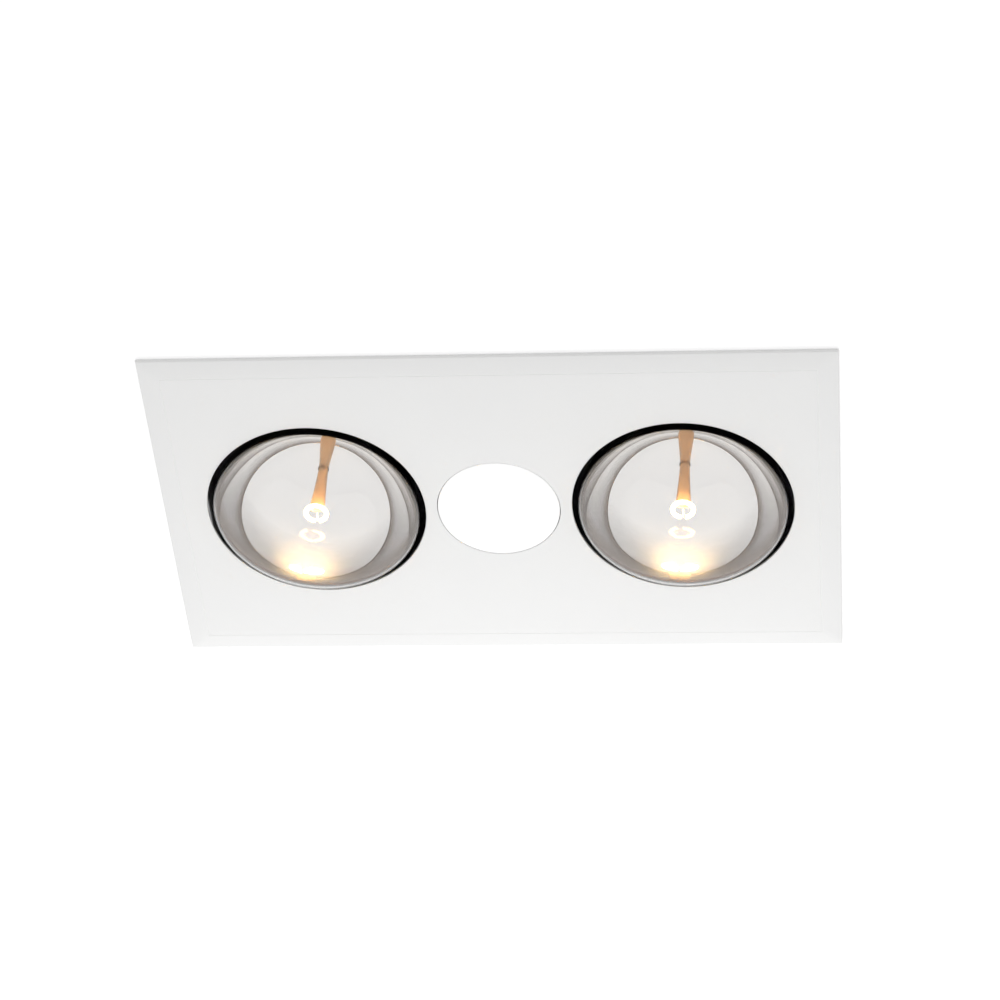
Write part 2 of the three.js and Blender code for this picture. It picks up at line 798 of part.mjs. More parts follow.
// Blade cage of the impeller: forward-leaning blades between a front and a rear ring
function makeBladeCage() {
  const ringBore = impellerDiameter - 2 * bladeChord;
  const bladeRadius = (impellerDiameter - bladeChord) / 2;
  const cageTop = discBottom - seat;
  const blades = Array.from({ length: bladeCount }, (_, index) => {
    const geometry = new THREE.BoxGeometry(
      bladeChord - impellerPlate,
      bladeThickness,
      cageTop - impellerBottom - impellerPlate,
    );
    geometry.rotateZ(bladeTilt * Math.PI / 180);
    geometry.translate(bladeRadius, 0, (cageTop + impellerBottom) / 2);
    geometry.rotateZ(index / bladeCount * 2 * Math.PI);
    return toSolid(geometry);
  });
  const frontRing = tube(ringBore, impellerDiameter, impellerBottom, impellerBottom + impellerPlate);
  const rearRing = tube(ringBore, impellerDiameter, cageTop - impellerPlate, cageTop);
  return joinAll([frontRing, rearRing, ...blades]);
}

// Disc of the impeller: the back plate with the hub that grips the motor shaft
function makeFanDisc() {
  const plate = rod(0, 0, impellerDiameter, discBottom, impellerTop);
  const hub = rod(0, 0, hubDiameter, hubBottom, impellerTop);
  const bore = rod(
    0,
    0,
    shaftDiameter + 2 * seat,
    hubBottom - overrun,
    impellerTop + overrun,
    smallSegments,
  );
  return joinAll([plate, hub]).subtract(bore);
}

const motorScrewAngles = [Math.PI / 2, -Math.PI / 2];
const motorScrewSpots = motorScrewAngles.map((angle) => [
  motorScrewCircle / 2 * Math.cos(angle),
  motorScrewCircle / 2 * Math.sin(angle),
]);

function motorScrewHoles(zLow, zHigh) {
  return motorScrewSpots.map(([x, y]) => (
    rod(x, y, motorScrewDiameter + 2 * seat, zLow, zHigh, smallSegments)
  ));
}

function makeFanStrap() {
  const strap = crossStrap(fanStrapWidth, fanStrapBottom, fanStrapFoot);
  const low = fanStrapBottom - overrun;
  const high = fanStrapBottom + strapThickness + overrun;
  const bushHole = rod(0, 0, bushDiameter + 2 * seat, low, high);
  return cutAll(strap, [bushHole, ...motorScrewHoles(low, high)]);
}

// Motor can: a deep cup, open below, with a flange and a boss for the upper bush
const upperBushTop = motorTop - motorWall - seat;
const upperBushBottom = upperBushTop - bushHeight;

function makeMotorCan() {
  const outer = motorDiameter / 2;
  const inner = outer - motorWall;
  const flange = motorFlangeDiameter / 2;
  const boss = bushDiameter / 2 + seat;
  const shoulder = motorBottom + motorFlangeThickness;
  const roof = motorTop - motorWall;
  const can = turned([
    [0, roof], [boss, roof], [boss, upperBushBottom], [boss + motorBossWall, upperBushBottom],
    [boss + motorBossWall, roof], [inner, roof], [inner, motorBottom], [flange, motorBottom],
    [flange, shoulder], [outer, shoulder], [outer, motorTop], [0, motorTop],
  ]);
  return cutAll(can, motorScrewHoles(motorBottom - overrun, shoulder + overrun));
}

function makeMotorScrew() {
  const headLevel = motorBottom + motorFlangeThickness + seat;
  return slottedScrew(
    motorScrewDiameter,
    screwHeadDiameter,
    screwHeadHeight,
    screwSlotDepth,
    headLevel,
    fanStrapBottom,
  );
}

// Outlet: a square plate with a round spigot, a raised seat round the window and ears for the flap's pin
const outletFace = housingWidth / 2 + seat;
const plateFace = outletFace + spigotPlateThickness;
const flapAxisY = plateFace + seat + flapKnuckleDiameter / 2;
const flapAxisZ = outletZ + outletHeight / 2 + flapOverlap;
const flapBack = flapAxisY - flapLeafSetback;
const earInside = flapWidth / 2 + seat;

function makeSpigot() {
  const outer = spigotDiameter;
  const margin = outer / 2 + spigotPlateMargin;
  const plate = block(outletX - margin, outletX + margin, outletFace, plateFace, outletZ - margin,
    outletZ + margin);
  const pipe = rodAlongY(outer, outletFace, outletFace + spigotLength, outletX, outletZ, lensSegments);
  const pipeBore = rodAlongY(
    outer - 2 * spigotWall,
    plateFace,
    outletFace + spigotLength + overrun,
    outletX,
    outletZ,
    lensSegments,
  );
  const frame = (grow, yLow, yHigh) => block(
    outletX - outletWidth / 2 - grow,
    outletX + outletWidth / 2 + grow,
    yLow,
    yHigh,
    outletZ - outletHeight / 2 - grow,
    outletZ + outletHeight / 2 + grow,
  );
  const raisedSeat = frame(flapSeatWall, plateFace - spigotPlateThickness / 2, flapBack - seat);
  const ears = [-1, 1].map((side) => {
    const faces = inOrder(side * earInside, side * (earInside + flapEarThickness));
    return block(
      outletX + faces[0],
      outletX + faces[1],
      plateFace - spigotPlateThickness / 2,
      flapAxisY + flapKnuckleDiameter / 2,
      flapAxisZ - flapKnuckleDiameter / 2,
      flapAxisZ + flapKnuckleDiameter / 2,
    );
  });
  const window = frame(0, outletFace - overrun, flapAxisY);
  const pinHole = rodAlongX(
    flapPinDiameter + 2 * seat,
    outletX - flapWidth,
    outletX + flapWidth,
    flapAxisY,
    flapAxisZ,
  ).intersect(block(
    outletX - flapWidth / 2 - flapEarThickness - 2 * seat,
    outletX + flapWidth / 2 + flapEarThickness + 2 * seat,
    plateFace,
    flapAxisY + flapKnuckleDiameter,
    flapAxisZ - flapKnuckleDiameter,
    flapAxisZ + flapKnuckleDiameter,
  ));
  const shell = plate.add(pipe).subtract(pipeBore);
  return cutAll(joinAll([shell, raisedSeat, ...ears]), [window, pinHole]);
}

function makeFlap() {
  const bottom = outletZ - outletHeight / 2 - flapSeatWall;
  const low = outletX - flapWidth / 2;
  const high = outletX + flapWidth / 2;
  const leaf = block(low, high, flapBack, flapBack + flapThickness, bottom, flapAxisZ);
  const knuckle = rodAlongX(flapKnuckleDiameter, low, high, flapAxisY, flapAxisZ);
  const bore = rodAlongX(
    flapPinDiameter + 2 * seat,
    low - overrun,
    high + overrun,
    flapAxisY,
    flapAxisZ,
  );
  return leaf.add(knuckle).subtract(bore);
}

function makeFlapPin() {
  const reach = earInside + flapEarThickness;
  return rodAlongX(flapPinDiameter, outletX - reach, outletX + reach, flapAxisY, flapAxisZ);
}

// Terminal box: an open tray on the roof with a cover post, a block of terminals and a cable grommet
const terminalFloor = housingHeight + seat;
const terminalTop = terminalFloor + terminalHeight;
const postX = terminalX + terminalLength / 2 - coverPostInset;
const postY = terminalY + terminalWidth / 2 - coverPostInset;
const grommetZ = terminalFloor + terminalHeight / 2;
const terminalEnd = terminalX - terminalLength / 2;

function makeTerminalBase() {
  const box = slab(terminalX, terminalY, terminalLength, terminalWidth, terminalFloor, terminalTop);
  const cavity = slab(
    terminalX,
    terminalY,
    terminalLength - 2 * terminalWall,
    terminalWidth - 2 * terminalWall,
    terminalFloor + terminalWall,
    terminalTop + overrun,
  );
  const post = rod(postX, postY, coverPostDiameter, terminalFloor, terminalTop);
  const screwHole = rod(
    postX,
    postY,
    coverScrewDiameter + 2 * seat,
    terminalTop - coverScrewLength,
    terminalTop + overrun,
    smallSegments,
  );
  const wireHole = rod(
    terminalX + terminalHoleOffset,
    terminalY,
    wireHoleDiameter,
    terminalFloor - overrun,
    terminalFloor + terminalWall + overrun,
    smallSegments,
  );
  const grommetHole = rodAlongX(
    grommetNeckDiameter + 2 * seat,
    terminalEnd - overrun,
    terminalEnd + terminalWall + overrun,
    terminalY,
    grommetZ,
    roundSegments,
  );
  return cutAll(box.subtract(cavity).add(post), [screwHole, wireHole, grommetHole]);
}

const coverBottom = terminalTop + seat;
const coverTop = coverBottom + terminalWall;

function makeTerminalCover() {
  const lid = slab(terminalX, terminalY, terminalLength, terminalWidth, coverBottom, coverTop);
  const hole = rod(
    postX,
    postY,
    coverScrewDiameter + 2 * seat,
    coverBottom - overrun,
    coverTop + overrun,
    smallSegments,
  );
  return lid.subtract(hole);
}

function makeTerminalBlock() {
  const bottom = terminalFloor + terminalWall + seat;
  const x = terminalX - blockOffset;
  const body = slab(x, terminalY, blockLength, blockWidth, bottom, bottom + blockHeight);
  const pitch = blockLength / blockPoles;
  const holes = Array.from({ length: blockPoles }, (_, pole) => {
    const place = x - blockLength / 2 + pitch * (pole + 1 / 2);
    const way = rodAlongY(
      blockHoleDiameter,
      terminalY - blockWidth,
      terminalY + blockWidth,
      place,
      bottom + blockWayHeight,
      smallSegments,
    );
    const top = bottom + blockHeight;
    const screwWay = rod(
      place,
      terminalY,
      blockHoleDiameter,
      top - blockScrewDepth,
      top + overrun,
      smallSegments,
    );
    return way.add(screwWay);
  });
  return cutAll(body, holes);
}

function makeGrommet() {
  const bore = grommetBore / 2;
  const neck = grommetNeckDiameter / 2;
  const flange = grommetDiameter / 2;
  const wallNear = terminalEnd - seat;
  const wallFar = terminalEnd + terminalWall + seat;
  const profile = [
    [bore, wallNear - grommetFlange], [flange - grommetChamfer, wallNear - grommetFlange],
    [flange, wallNear], [neck, wallNear], [neck, wallFar], [flange, wallFar],
    [flange, wallFar + grommetLip], [bore, wallFar + grommetLip],
  ];
  const geometry = turnedGeometry(profile, roundSegments);
  return toSolid(geometry.rotateY(Math.PI / 2).translate(0, terminalY, grommetZ));
}

function makeCoverScrew() {
  return slottedScrew(
    coverScrewDiameter,
    screwHeadDiameter,
    screwHeadHeight,
    screwSlotDepth,
    coverTop + seat,
    terminalTop - coverScrewLength + seat,
  );
}

// Ceiling clamp: a long screw with its head under the flange, and a wing that swings out over the ceiling
function makeClampScrew() {
  const headLevel = flangeUnderside - seat;
  return slottedScrew(
    clampScrewDiameter,
    clampHeadDiameter,
    clampHeadHeight,
    clampSlotDepth,
    headLevel,
    clampScrewLength,
  );
}

function makeWing(side) {
  const ends = inOrder(0, side * wingReach);
  const tip = inOrder(side * (wingReach - wingThickness), side * wingReach);
  const arm = block(ends[0], ends[1], -wingWidth / 2, wingWidth / 2, wingHeight, wingHeight + wingThickness);
  const lip = block(tip[0], tip[1], -wingWidth / 2, wingWidth / 2, wingHeight,
    wingHeight + wingThickness + wingLip);
  const hub = rod(0, 0, wingHubDiameter, wingHeight, wingHeight + wingHubHeight, smallSegments);
  const bore = rod(0, 0, clampHole, wingHeight - overrun, wingHeight + wingHubHeight + overrun,
    smallSegments);
  return joinAll([arm, lip, hub]).subtract(bore);
}

addPiece('fascia', 'whiteEnamel', makeFascia());
addPiece('housing', 'galvanised', makeHousing());
addPiece('led_lens', 'opal', makeLens());
addPiece('led_board', 'circuitBoard', makeBoard());
addPiece('led_heat_sink', 'aluminium', makeHeatSink());
addPiece('led_bracket', 'galvanised', crossStrap(ledStrapWidth, ledStrapBottom, ledStrapFoot));
addPiece('led_driver', 'palePlastic', makeDriver());

lampSides.forEach(([side, sign]) => {
  const x = sign * lampX;
  addPiece(`lamp_glass_${side}`, 'glass', makeGlass(), x);
  addPiece(`lamp_stem_${side}`, 'amberGlass', makeStem(), x);
  addPiece(`lamp_filament_${side}`, 'tungsten', makeFilament(), x);
  addPiece(`lamp_cap_${side}`, 'nickel', makeCap(), x);
  addPiece(`lamp_contact_${side}`, 'blackGlaze', makeLampContact(), x);
  addPiece(`lampholder_body_${side}`, 'ceramic', makeHolderBody(), x);
  addPiece(`lampholder_sleeve_${side}`, 'brass', makeSleeve(), x);
  addPiece(`lampholder_contact_${side}`, 'brass', makeHolderContact(), x);
  addPiece(`lampholder_bracket_${side}`, 'galvanised', makeHolderStrap(), x);
});

addPiece('fan_scroll', 'greyPlastic', makeScroll());
addPiece('fan_inlet_plate', 'greyPlastic', makeInletPlate());
addPiece('fan_impeller', 'blackPlastic', makeBladeCage());
addPiece('fan_disc', 'blackPlastic', makeFanDisc());
addPiece('fan_bracket', 'galvanised', makeFanStrap());

const statorOuter = motorDiameter - 2 * motorWall - 2 * seat;
const rotorDiameter = statorBoreDiameter - 2 * rotorGap;
const statorTop = statorBottom + statorHeight;
const coilOuter = statorBoreDiameter + 2 * coilWall;
const shaftHole = shaftDiameter + 2 * seat;
addPiece('motor_can', 'galvanised', makeMotorCan());
addPiece('motor_stator', 'laminations', tube(statorBoreDiameter, statorOuter, statorBottom, statorTop));
addPiece('motor_coil_lower', 'copper',
  tube(statorBoreDiameter, coilOuter, statorBottom - seat - coilHeight, statorBottom - seat));
addPiece('motor_coil_upper', 'copper',
  tube(statorBoreDiameter, coilOuter, statorTop + seat, statorTop + seat + coilHeight));
addPiece('motor_rotor', 'laminations', tube(shaftHole, rotorDiameter, statorBottom, statorTop));
addPiece('motor_shaft', 'springSteel', rod(0, 0, shaftDiameter, hubBottom, upperBushTop, smallSegments));
addPiece('motor_bush_lower', 'bronze',
  tube(shaftHole, bushDiameter, fanStrapBottom, fanStrapBottom + bushHeight));
addPiece('motor_bush_upper', 'bronze', tube(shaftHole, bushDiameter, upperBushBottom, upperBushTop));
motorScrewSpots.forEach(([x, y], index) => {
  addPiece(`motor_screw_${index + 1}`, 'springSteel', makeMotorScrew(), x, y);
});

addPiece('outlet_spigot', 'greyPlastic', makeSpigot());
addPiece('outlet_flap', 'blackPlastic', makeFlap());
addPiece('flap_pin', 'springSteel', makeFlapPin());

addPiece('terminal_base', 'palePlastic', makeTerminalBase());
addPiece('terminal_cover', 'palePlastic', makeTerminalCover());
addPiece('terminal_block', 'blackPlastic', makeTerminalBlock());
addPiece('cable_grommet', 'blackPlastic', makeGrommet());
addPiece('terminal_cover_screw', 'springSteel', makeCoverScrew(), postX, postY);

corners.forEach(([sx, sy], index) => {
  const number = index + 1;
  addPiece(`fascia_clip_${number}`, 'springSteel', makeClip(sy), sx * tongueX);
  addPiece(`clamp_screw_${number}`, 'springSteel', makeClampScrew(), sx * clampX, sy * clampY);
  addPiece(`clamp_wing_${number}`, 'galvanised', makeWing(sx), sx * clampX, sy * clampY);
});

export default heater;
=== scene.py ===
import math

import bmesh
import bpy
import numpy as np
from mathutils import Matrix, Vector


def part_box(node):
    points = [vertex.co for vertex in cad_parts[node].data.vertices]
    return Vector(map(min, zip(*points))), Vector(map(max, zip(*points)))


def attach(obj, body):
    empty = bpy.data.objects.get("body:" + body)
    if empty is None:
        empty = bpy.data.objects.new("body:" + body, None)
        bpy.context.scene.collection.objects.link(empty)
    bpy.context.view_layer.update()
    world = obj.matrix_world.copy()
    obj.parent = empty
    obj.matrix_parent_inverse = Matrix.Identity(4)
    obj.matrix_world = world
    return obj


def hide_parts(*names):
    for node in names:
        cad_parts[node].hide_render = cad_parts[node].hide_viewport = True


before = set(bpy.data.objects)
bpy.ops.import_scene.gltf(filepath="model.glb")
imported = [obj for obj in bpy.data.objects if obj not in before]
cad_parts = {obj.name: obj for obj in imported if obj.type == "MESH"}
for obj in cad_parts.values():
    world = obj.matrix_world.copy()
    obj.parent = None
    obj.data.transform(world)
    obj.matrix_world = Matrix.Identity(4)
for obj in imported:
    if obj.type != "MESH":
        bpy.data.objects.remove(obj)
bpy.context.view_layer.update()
print("frame loaded:", len(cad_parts), "nodes")

mm = 0.001  # piece sizes below are in millimetres, the scene is in metres
weldGap = 0.002 * mm
longestFillet = 0.49  # share of a side that one fillet may take
clockCorners = ((1, 1), (-1, 1), (-1, -1), (1, -1))
noiseRange = (0.3, 0.7)  # where nearly all of a noise lies


# Shapes

def filleted(corners, radius, steps=4):
    # every inner corner becomes a quadratic curve that leaves and rejoins its sides one radius away
    corners = np.array(corners, float)
    radii = np.broadcast_to(np.array(radius, float), len(corners) - 2)
    share = np.linspace(0, 1, steps + 1)[:, None]
    parts = [corners[:1]]
    for before, at, after, size in zip(corners[:-2], corners[1:-1], corners[2:], radii):
        back = before - at
        ahead = after - at
        start = at + back * min(size / np.linalg.norm(back), longestFillet)
        end = at + ahead * min(size / np.linalg.norm(ahead), longestFillet)
        parts.append((1 - share) ** 2 * start + 2 * share * (1 - share) * at + share ** 2 * end)
    return np.concatenate(parts + [corners[-1:]])


def turned(profile, around, centre=(0, 0, 0), axis="z"):
    # point = centre + (r cos t, r sin t, h) for each (r, h) of the profile, t once around the axis
    profile = np.array(profile, float)
    t = np.linspace(0, 2 * np.pi, around, endpoint=False)
    x = profile[:, :1] * np.cos(t)
    y = profile[:, :1] * np.sin(t)
    h = profile[:, 1:2] + 0 * t
    order = {"z": (x, y, h), "x": (h, x, y), "y": (y, h, x)}[axis]
    return np.stack(order, axis=-1) + centre


def roundedRect(halfX, halfY, corner, steps):
    # four quarter circles of the corner radius, joined by straight sides
    corner = min(corner, halfX, halfY)
    t = np.radians(np.arange(4)[:, None] * 90 + np.linspace(0, 90, steps + 1))
    signX = np.array([1, -1, -1, 1])[:, None]
    signY = np.array([1, 1, -1, -1])[:, None]
    x = signX * (halfX - corner) + corner * np.cos(t)
    y = signY * (halfY - corner) + corner * np.sin(t)
    return np.stack([x, y], axis=-1).reshape(-1, 2)


def along(path):
    # unit vectors of the path's direction at each of its points
    ahead = np.gradient(path, axis=0)
    return ahead / np.linalg.norm(ahead, axis=1, keepdims=True)


def carried(path, outward, radius, around=8):
    # path(s) + radius (cos t side + sin t other), with side and other square to the path's direction
    ahead = along(path)
    side = outward - np.sum(outward * ahead, axis=1, keepdims=True) * ahead
    side /= np.linalg.norm(side, axis=1, keepdims=True)
    other = np.cross(ahead, side)
    t = np.linspace(0, 2 * np.pi, around, endpoint=False)[None, :, None]
    ring = np.cos(t) * side[:, None] + np.sin(t) * other[:, None]
    reach = np.broadcast_to(np.array(radius, float), len(path))[:, None, None]
    return path[:, None] + reach * ring


def capped(rows):
    # the first and last rows shrink to their middles, so that the form is closed
    rows = np.array(rows)
    ends = np.repeat(rows[[0, -1]].mean(axis=1, keepdims=True), rows.shape[1], axis=1)
    return np.concatenate([ends[:1], rows, ends[1:]])


def alongSides(corners, counts):
    # straight runs of evenly spaced points between the corners, back to the first one
    corners = np.array(corners, float)
    ends = np.roll(corners, -1, axis=0)
    runs = [a + (b - a) * np.arange(n)[:, None] / n for a, b, n in zip(corners, ends, counts)]
    return np.concatenate(runs)


def atHeight(loop, height):
    # (x, y) becomes (x, y, height)
    return np.column_stack([loop, np.full(len(loop), height)])


def stacked(levels, centre, steps=5):
    # one rounded rectangle (half x, half y, corner, height) per level, each level a row of the grid
    return np.array([atHeight(roundedRect(*size, steps) + centre, height) for *size, height in levels])


def unitSquare(count):
    # each side of a square of half side one at -cos(pi k / count), so that points gather at the corners
    s = -np.cos(np.pi * np.arange(count) / count)
    one = np.ones(count)
    return np.concatenate([np.column_stack(side) for side in ((one, s), (-s, one), (-one, -s), (s, -one))])


def cornered(unit, halfU, halfV, corner):
    # rectangle whose points beyond a corner's centre are drawn back onto that corner's circle
    half = np.array([halfU, halfV])
    flat = unit * half
    reach = half - corner
    core = np.clip(flat, -reach, reach)
    away = flat - core
    length = np.linalg.norm(away, axis=1, keepdims=True)
    return core + away * np.minimum(1, corner / np.maximum(length, corner))


def insetRows(unit, halfU, halfV, corner, leastCorner, levels):
    # for each (inset, level) the rectangle shrinks by the inset, and its corners with it
    rows = []
    for inset, level in levels:
        loop = cornered(unit, halfU - inset, halfV - inset, max(corner - inset, leastCorner))
        rows.append(atHeight(loop, level))
    return rows


def circled(unit, radius):
    # each point of the unit square moves along its ray onto the circle
    return unit / np.linalg.norm(unit, axis=1, keepdims=True) * radius


def facing(points, axis, centre):
    # (u, v, level) becomes (x, y, z) with the level along the named axis
    u, v, level = np.moveaxis(np.array(points, float), -1, 0)
    order = {"z": (u, v, level), "x": (level, u, v), "y": (u, level, v)}[axis]
    return np.stack(order, axis=-1) + centre


plain = {"pointsOnSide": 16, "flatRun": 1.0, "leastCorner": 0.05, "domeRows": 7, "domeAround": 24}


def plate(halfU, halfV, corner, low, high, edge, axis, centre, hole=0.0):
    # loops (rectangle - inset) at each level, from the middle or the hole's edge over the rim and back
    unit = unitSquare(plain["pointsOnSide"])
    inner = circled(unit, hole) if hole else unit * 0
    flat = edge + plain["flatRun"]
    rim = [(flat, low), (edge, low), (0, low + edge), (0, high - edge), (edge, high), (flat, high)]
    rows = [atHeight(inner, low)] + insetRows(unit, halfU, halfV, corner, plain["leastCorner"], rim)
    rows.append(atHeight(inner, high))
    if hole:
        rows.append(rows[0])
    return facing(rows, axis, centre)


def swept(path, side, section):
    # path(s) + u side + v other for each (u, v) of the section, other square to side and direction
    other = np.cross(along(path), side)
    return path[:, None] + section[:, 0, None] * np.array(side) + section[:, 1, None] * other[:, None]


def dome(radius, height, axis, centre):
    # low round rivet head: r = radius cos t, level = height sin t
    t = np.linspace(0, np.pi / 2, plain["domeRows"])
    profile = np.column_stack([radius * np.cos(t), height * np.sin(t)])
    return turned(profile, plain["domeAround"], centre, axis)


def sizeOf(nodeName):
    low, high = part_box(nodeName)
    return np.array(low) / mm, np.array(high) / mm


def addObject(name, data):
    thing = bpy.data.objects.new(name, data)
    bpy.context.scene.collection.objects.link(thing)
    return thing


def addPiece(name, grids, finishes, body, standsFor, sharp=32):
    # each grid is (points, finish number, openings): rows follow the profile, columns go once around,
    # and quads whose middle lies inside an opening's box are left out
    parts = []
    start = 0
    for points, kind, *openings in grids:
        rows, around = points.shape[:2]
        index = np.arange(rows * around).reshape(rows, around)
        beside = np.roll(index, -1, axis=1)
        quads = np.stack([index[:-1], beside[:-1], beside[1:], index[1:]], axis=-1).reshape(-1, 4)
        flat = points.reshape(-1, 3)
        middle = flat[quads].mean(axis=1)
        stays = np.ones(len(quads), bool)
        for low, high in openings:
            stays &= ~np.all((middle > low) & (middle < high), axis=1)
        quads = quads[stays] + start
        parts.append((flat * mm, quads, np.full(len(quads), kind, np.int32)))
        start += rows * around
    vertices, faces, kinds = (np.concatenate(part) for part in zip(*parts))
    mesh = bpy.data.meshes.new(name)
    mesh.from_pydata(vertices, [], faces.tolist())
    mesh.polygons.foreach_set("material_index", kinds)
    shell = bmesh.new()
    shell.from_mesh(mesh)
    bmesh.ops.remove_doubles(shell, verts=shell.verts, dist=weldGap)
    bmesh.ops.dissolve_degenerate(shell, dist=weldGap, edges=shell.edges)
    bmesh.ops.recalc_face_normals(shell, faces=shell.faces)
    shell.to_mesh(mesh)
    shell.free()
    for material in finishes:
        mesh.materials.append(material)
    mesh.shade_smooth()
    mesh.set_sharp_from_angle(angle=math.radians(sharp))
    piece = addObject(name, mesh)
    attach(piece, body)
    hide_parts(*standsFor)


# Finishes

def newFinish(name, colour, roughness, metallic=0.0, **sockets):
    material = bpy.data.materials.new(name)
    material.use_nodes = True
    shader = material.node_tree.nodes["Principled BSDF"]
    sockets.update(Base_Color=(*colour, 1), Roughness=roughness, Metallic=metallic)
    for socket, value in sockets.items():
        shader.inputs[socket.replace("_", " ")].default_value = value
    return material


def addNode(owner, kind, settings=None, **links):
    # links name the new node's sockets; a value is either a number or another node's output
    node = owner.node_tree.nodes.new("ShaderNode" + kind)
    for key, value in (settings or {}).items():
        setattr(node, key, value)
    for socket, value in links.items():
        number = socket[1:]
        target = node.inputs[int(number) if number.isdigit() else socket.replace("_", " ")]
        if isinstance(value, bpy.types.NodeSocket):
            owner.node_tree.links.new(value, target)
        else:
            target.default_value = value
    return node


def objectPlace(material, stretch=(1, 1, 1)):
    place = addNode(material, "TexCoord").outputs["Object"]
    return addNode(material, "Mapping", Vector=place, Scale=stretch).outputs["Vector"]


def feed(owner, output, socket, node="Principled BSDF"):
    owner.node_tree.links.new(output, owner.node_tree.nodes[node].inputs[socket])


def noiseOver(material, scale, stretch, detail):
    place = objectPlace(material, stretch)
    return addNode(material, "TexNoise", Vector=place, Scale=scale, Detail=detail).outputs["Fac"]


def addGrain(material, scale, height, stretch=(1, 1, 1), detail=3.0):
    # bump height = height x noise(place x scale)
    noise = noiseOver(material, scale, stretch, detail)
    bump = addNode(material, "Bump", Height=noise, Distance=height * mm, Strength=1.0).outputs["Normal"]
    feed(material, bump, "Normal")
    return bump


def mixTones(material, share, dark, light):
    # colour = dark + share (light - dark)
    mix = addNode(material, "Mix", {"data_type": "RGBA"}, i0=share, i6=(*dark, 1), i7=(*light, 1))
    feed(material, mix.outputs[2], "Base Color")


def addTone(material, dark, light, scale, stretch=(1, 1, 1)):
    # colour runs from dark to light with noise(place x scale)
    mixTones(material, noiseOver(material, scale, stretch, detail=2.0), dark, light)


def addSheenSpread(material, low, high, scale, stretch=(1, 1, 1)):
    # roughness runs from low to high with noise(place x scale)
    noise = noiseOver(material, scale, stretch, detail=4.0)
    least, most = noiseRange
    spread = addNode(material, "MapRange", Value=noise, i1=least, i2=most, i3=low, i4=high)
    feed(material, spread.outputs["Result"], "Roughness")


satin = {
    "colour": (0.86, 0.86, 0.855),
    "darker": (0.85, 0.85, 0.845),
    "lighter": (0.875, 0.875, 0.87),
    "toneScale": 14.0,
    "roughness": (0.34, 0.44),
    "meanRoughness": 0.38,
    "roughScale": 60.0,
    "gloss": 0.4,
    "peelScale": 1400.0,
    "peelHeight": 0.02,
}


def satinWhite():
    # powder-coated sheet: near white, with a fine orange-peel bump
    low, high = satin["roughness"]
    gloss = satin["gloss"]
    look = newFinish("satinWhite", satin["colour"], satin["meanRoughness"], Specular_IOR_Level=gloss)
    addTone(look, satin["darker"], satin["lighter"], satin["toneScale"])
    addGrain(look, satin["peelScale"], satin["peelHeight"])
    addSheenSpread(look, low, high, satin["roughScale"])
    return look


diffuser = {"colour": (0.93, 0.93, 0.93), "roughness": 0.35, "glow": 0.12, "grainScale": 900.0, "grain": 0.01}


def glowing(name, colour, roughness, light, strength):
    return newFinish(name, colour, roughness, Emission_Color=(*light, 1), Emission_Strength=strength)


def opalWhite():
    # lit diffuser: white all through, with a faint even glow
    look = glowing("opalWhite", diffuser["colour"], diffuser["roughness"], (1, 1, 1), diffuser["glow"])
    addGrain(look, diffuser["grainScale"], diffuser["grain"])
    return look


spangle = {
    "colour": (0.62, 0.64, 0.66),
    "darker": (0.55, 0.565, 0.58),
    "lighter": (0.67, 0.685, 0.695),
    "metallic": 0.9,
    "cellsPerMetre": 210.0,
    "roughness": (0.34, 0.52),
    "meanRoughness": 0.4,
    "grainScale": 260.0,
    "grainHeight": 0.03,
}


def galvanised():
    # zinc spangle: each Voronoi cell has its own tone and roughness
    low, high = spangle["roughness"]
    look = newFinish("galvanisedSteel", spangle["colour"], spangle["meanRoughness"], spangle["metallic"])
    scale = spangle["cellsPerMetre"]
    cells = addNode(look, "TexVoronoi", Vector=objectPlace(look), Scale=scale, Randomness=1.0)
    tone = addNode(look, "SeparateColor", Color=cells.outputs["Color"])
    mixTones(look, tone.outputs[0], spangle["darker"], spangle["lighter"])
    rough = addNode(look, "MapRange", Value=tone.outputs[1], i1=0.0, i2=1.0, i3=low, i4=high)
    feed(look, rough.outputs["Result"], "Roughness")
    addGrain(look, spangle["grainScale"], spangle["grainHeight"])
    return look


coating = {
    "colour": (0.87, 0.86, 0.85),
    "roughness": 0.02,
    "glareColour": (0.88, 0.86, 0.84),
    "glareRoughness": 0.26,
    "glareShare": 0.14,
    # reflectance by height, from the bulb's rim upwards: painted reflection shade, dark brown at the rim and
    # brightening to near white
    "heights": (-5.0, 20.0),
    "reflectionShadeTints": ((0.0, (0.12, 0.085, 0.07)), (1.0, (0.89, 0.88, 0.87)),
              (0.2, (0.24, 0.20, 0.18)), (0.42, (0.52, 0.51, 0.51))),
    "waveScale": 30.0,
    "waveHeight": 0.15,
    "edgeColour": (0.13, 0.09, 0.07),
    "edgeRoughness": 0.3,
    "edgeMetallic": 0.8,
}


